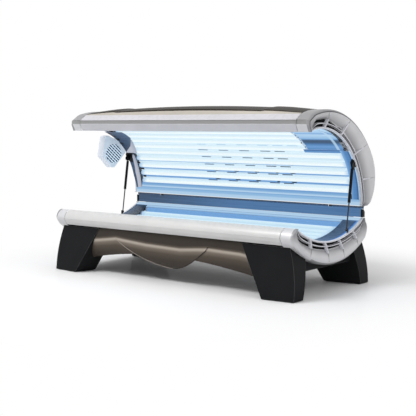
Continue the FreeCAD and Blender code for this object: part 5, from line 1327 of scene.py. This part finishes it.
dress("leg_saddle_left leg_saddle_right", leg_black, 0.002)
dress("floor_glides", pad_black)
dress("leg_bolts", steel, 0.0006)
dress("hinge_pins", dark_rod, 0.0006)
dress("base_frame canopy_frame", frame_black)
dress("belly_pan", pan_grey)
dress("intake_grille base_fan_housing canopy_fan_housing body_fan_motor", part_black)
dress("base_fan_rotor canopy_fan_rotor body_fan_rotor", part_black)
dress("front_valance centre_valance", skirt_bronze_painted_light)
dress("lower_front_rail", rail_pale)
# Along its whole length the base's rear rail turns near black at this height.
silver_near_black_band = named_copy(silver, "silver lacquer, near-black band")
band_by_height(silver_near_black_band, 0.503, 0.64, (0.012, 0.013, 0.016))
dress("base_rear_rail", silver_near_black_band)
dress("upper_front_rail", silver_painted_band_shade)
# Low on this rail the finish turns blue, with a near-black line at the band's top.
pale_rail_banded = named_copy(rim_white, "pale rail, blue band, near-black line")
band_by_height(pale_rail_banded, 0.5, 0.5766, (0.12, 0.20, 0.33))
band_by_height(pale_rail_banded, 0.5690, 0.5766, (0.006, 0.007, 0.010))
dress("canopy_rear_rail", pale_rail_banded)
dress("bench_sheet", bench_clear)
dress("canopy_sheet", canopy_clear)
dress("bench_end_panels", bench_panel_lit)
dress("bench_reflector", bench_glow)
dress("canopy_reflector", canopy_glow)
dress("bench_lamps", bench_lamp)
dress("canopy_lamps", canopy_lamp)
dress("bench_lamp_holders canopy_lamp_holders", part_black)
dress("facial_lamps", canopy_lamp)
dress("facial_box", box_grey)
dress("base_ballasts canopy_ballasts terminal_box", box_grey)
dress("cable_gland", part_black)
dress("rear_strip", strip_lit)
dress("hinge_covers", part_black, 0.002)
dress("strut_feet strut_heads", part_black, 0.001)
dress("strut_rod_left strut_rod_right", dark_rod)
dress("strut_cylinder_left strut_cylinder_right", part_black, 0.001)
dress("facial_window", window_lit)
dress("body_fan_pod", pod_grey_painted_glow, 0.010, 4)
dress("control_plate", box_grey, 0.0008)
dress("start_button speed_knob", control_dark, 0.0006)
print("dressed", sum(bool(solid.data.materials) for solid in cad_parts.values()))

# %% [markdown]
# ## Floor, light and camera
# A bed like this stands in a plain pale studio. The floor is a pale sheet that keeps the shadow
# and a faint mirror image, and turns pure white away from the bed. The world's light grows from the
# horizon up, but the camera and the rays of mirrors and glass see it plain white. A large lamp in front
# and above gives the shapes their modelling. Two weaker ones, over the bed and beyond its head end,
# open the shadows.

# %% Floor


def mix_shaders(tree, factor, first, second):
    made = node(tree, "ShaderNodeMixShader")
    for socket, value in zip(made.inputs, (factor, first, second)):
        plug(tree, socket, value)
    return made.outputs[0]


def seeing_rays(tree):
    """Mask of the rays that see the plain white: camera, glossy and transmission rays."""
    rays = node(tree, "ShaderNodeLightPath")
    sent_on = maths(tree, "MAXIMUM", rays.outputs["Is Glossy Ray"], rays.outputs["Is Transmission Ray"])
    return maths(tree, "MAXIMUM", rays.outputs["Is Camera Ray"], sent_on)


floor_mesh = bpy.data.meshes.new("floor")
floor_mesh.from_pydata([(-30, -30, 0), (30, -30, 0), (30, 30, 0), (-30, 30, 0)], [], [(0, 1, 2, 3)])
floor = bpy.data.objects.new("floor", floor_mesh)
scene.collection.objects.link(floor)
floor_material, tree, shader = start_material("pale floor")
plug_all(tree, shader, Base_Color=(0.90, 0.90, 0.905), Roughness=0.6, Specular_IOR_Level=0.0)
mirror = node(tree, "ShaderNodeBsdfGlossy")
mirror.inputs["Roughness"].default_value = 0.05
mirror_share = 0.04
polished = mix_shaders(tree, mirror_share, shader.outputs[0], mirror.outputs[0])
spot = node(tree, "ShaderNodeTexCoord")
reach = node(tree, "ShaderNodeVectorMath", operation="LENGTH")
tree.links.new(spot.outputs["Object"], reach.inputs[0])
away = spread(tree, reach.outputs["Value"], 1.2, 2.5)
white = node(tree, "ShaderNodeEmission")
plug_all(tree, white, Color=(1.0, 1.0, 1.0), Strength=1.0)
seen_white = maths(tree, "MULTIPLY", away, seeing_rays(tree))
tree.links.new(mix_shaders(tree, seen_white, polished, white.outputs[0]),
               tree.nodes["Material Output"].inputs["Surface"])
floor_mesh.materials.append(floor_material)

# %% World and lamps
world = bpy.data.worlds.new("studio")
scene.world = world
world.use_nodes = True
tree = world.node_tree
sky = node(tree, "ShaderNodeTexCoord")
sky_parts = node(tree, "ShaderNodeSeparateXYZ")
tree.links.new(sky.outputs["Generated"], sky_parts.inputs[0])
soft = tree.nodes["Background"]
plug_all(tree, soft, Color=(1.0, 1.0, 1.0),
         Strength=spread(tree, sky_parts.outputs["Z"], 0.0, 0.75, 0.26, 0.72))
plain = node(tree, "ShaderNodeBackground")
plug_all(tree, plain, Color=(1.0, 1.0, 1.0), Strength=1.0)
tree.links.new(mix_shaders(tree, seeing_rays(tree), soft.outputs[0], plain.outputs[0]),
               tree.nodes["World Output"].inputs["Surface"])


def area_lamp(name, place, target, size, watts):
    """A rectangular lamp at a place, turned to a target."""
    lamp = bpy.data.lights.new(name, "AREA")
    lamp.shape = "RECTANGLE"
    lamp.size, lamp.size_y = size
    lamp.energy = watts
    made = bpy.data.objects.new(name, lamp)
    made.location = place
    made.rotation_euler = (Vector(target) - Vector(place)).to_track_quat("-Z", "Y").to_euler()
    scene.collection.objects.link(made)


area_lamp("key", (-1.2, -3.8, 5.0), (0.0, -0.2, 0.4), (2.6, 2.0), 185.0)
area_lamp("top", (0.0, -0.3, 4.6), (0.0, 0.0, 0.4), (2.6, 1.6), 15.0)
area_lamp("side", (5.5, 0.5, 3.5), (0.5, 0.0, 0.6), (3.0, 3.0), 36.0)

# %% Camera
lens = bpy.data.cameras.new("camera")
lens.sensor_width = 36.0
lens.lens = 77.92
camera = bpy.data.objects.new("camera", lens)
camera.location = at(4347.06, -5464.49, 1183.10)
look_down, look_aside = 0.0932, 0.669
camera.rotation_euler = (math.pi / 2.0 - look_down, 0.0, look_aside)
scene.collection.objects.link(camera)
scene.camera = camera
scene.view_settings.view_transform = "Standard"
print("camera at", [round(v, 3) for v in camera.location])
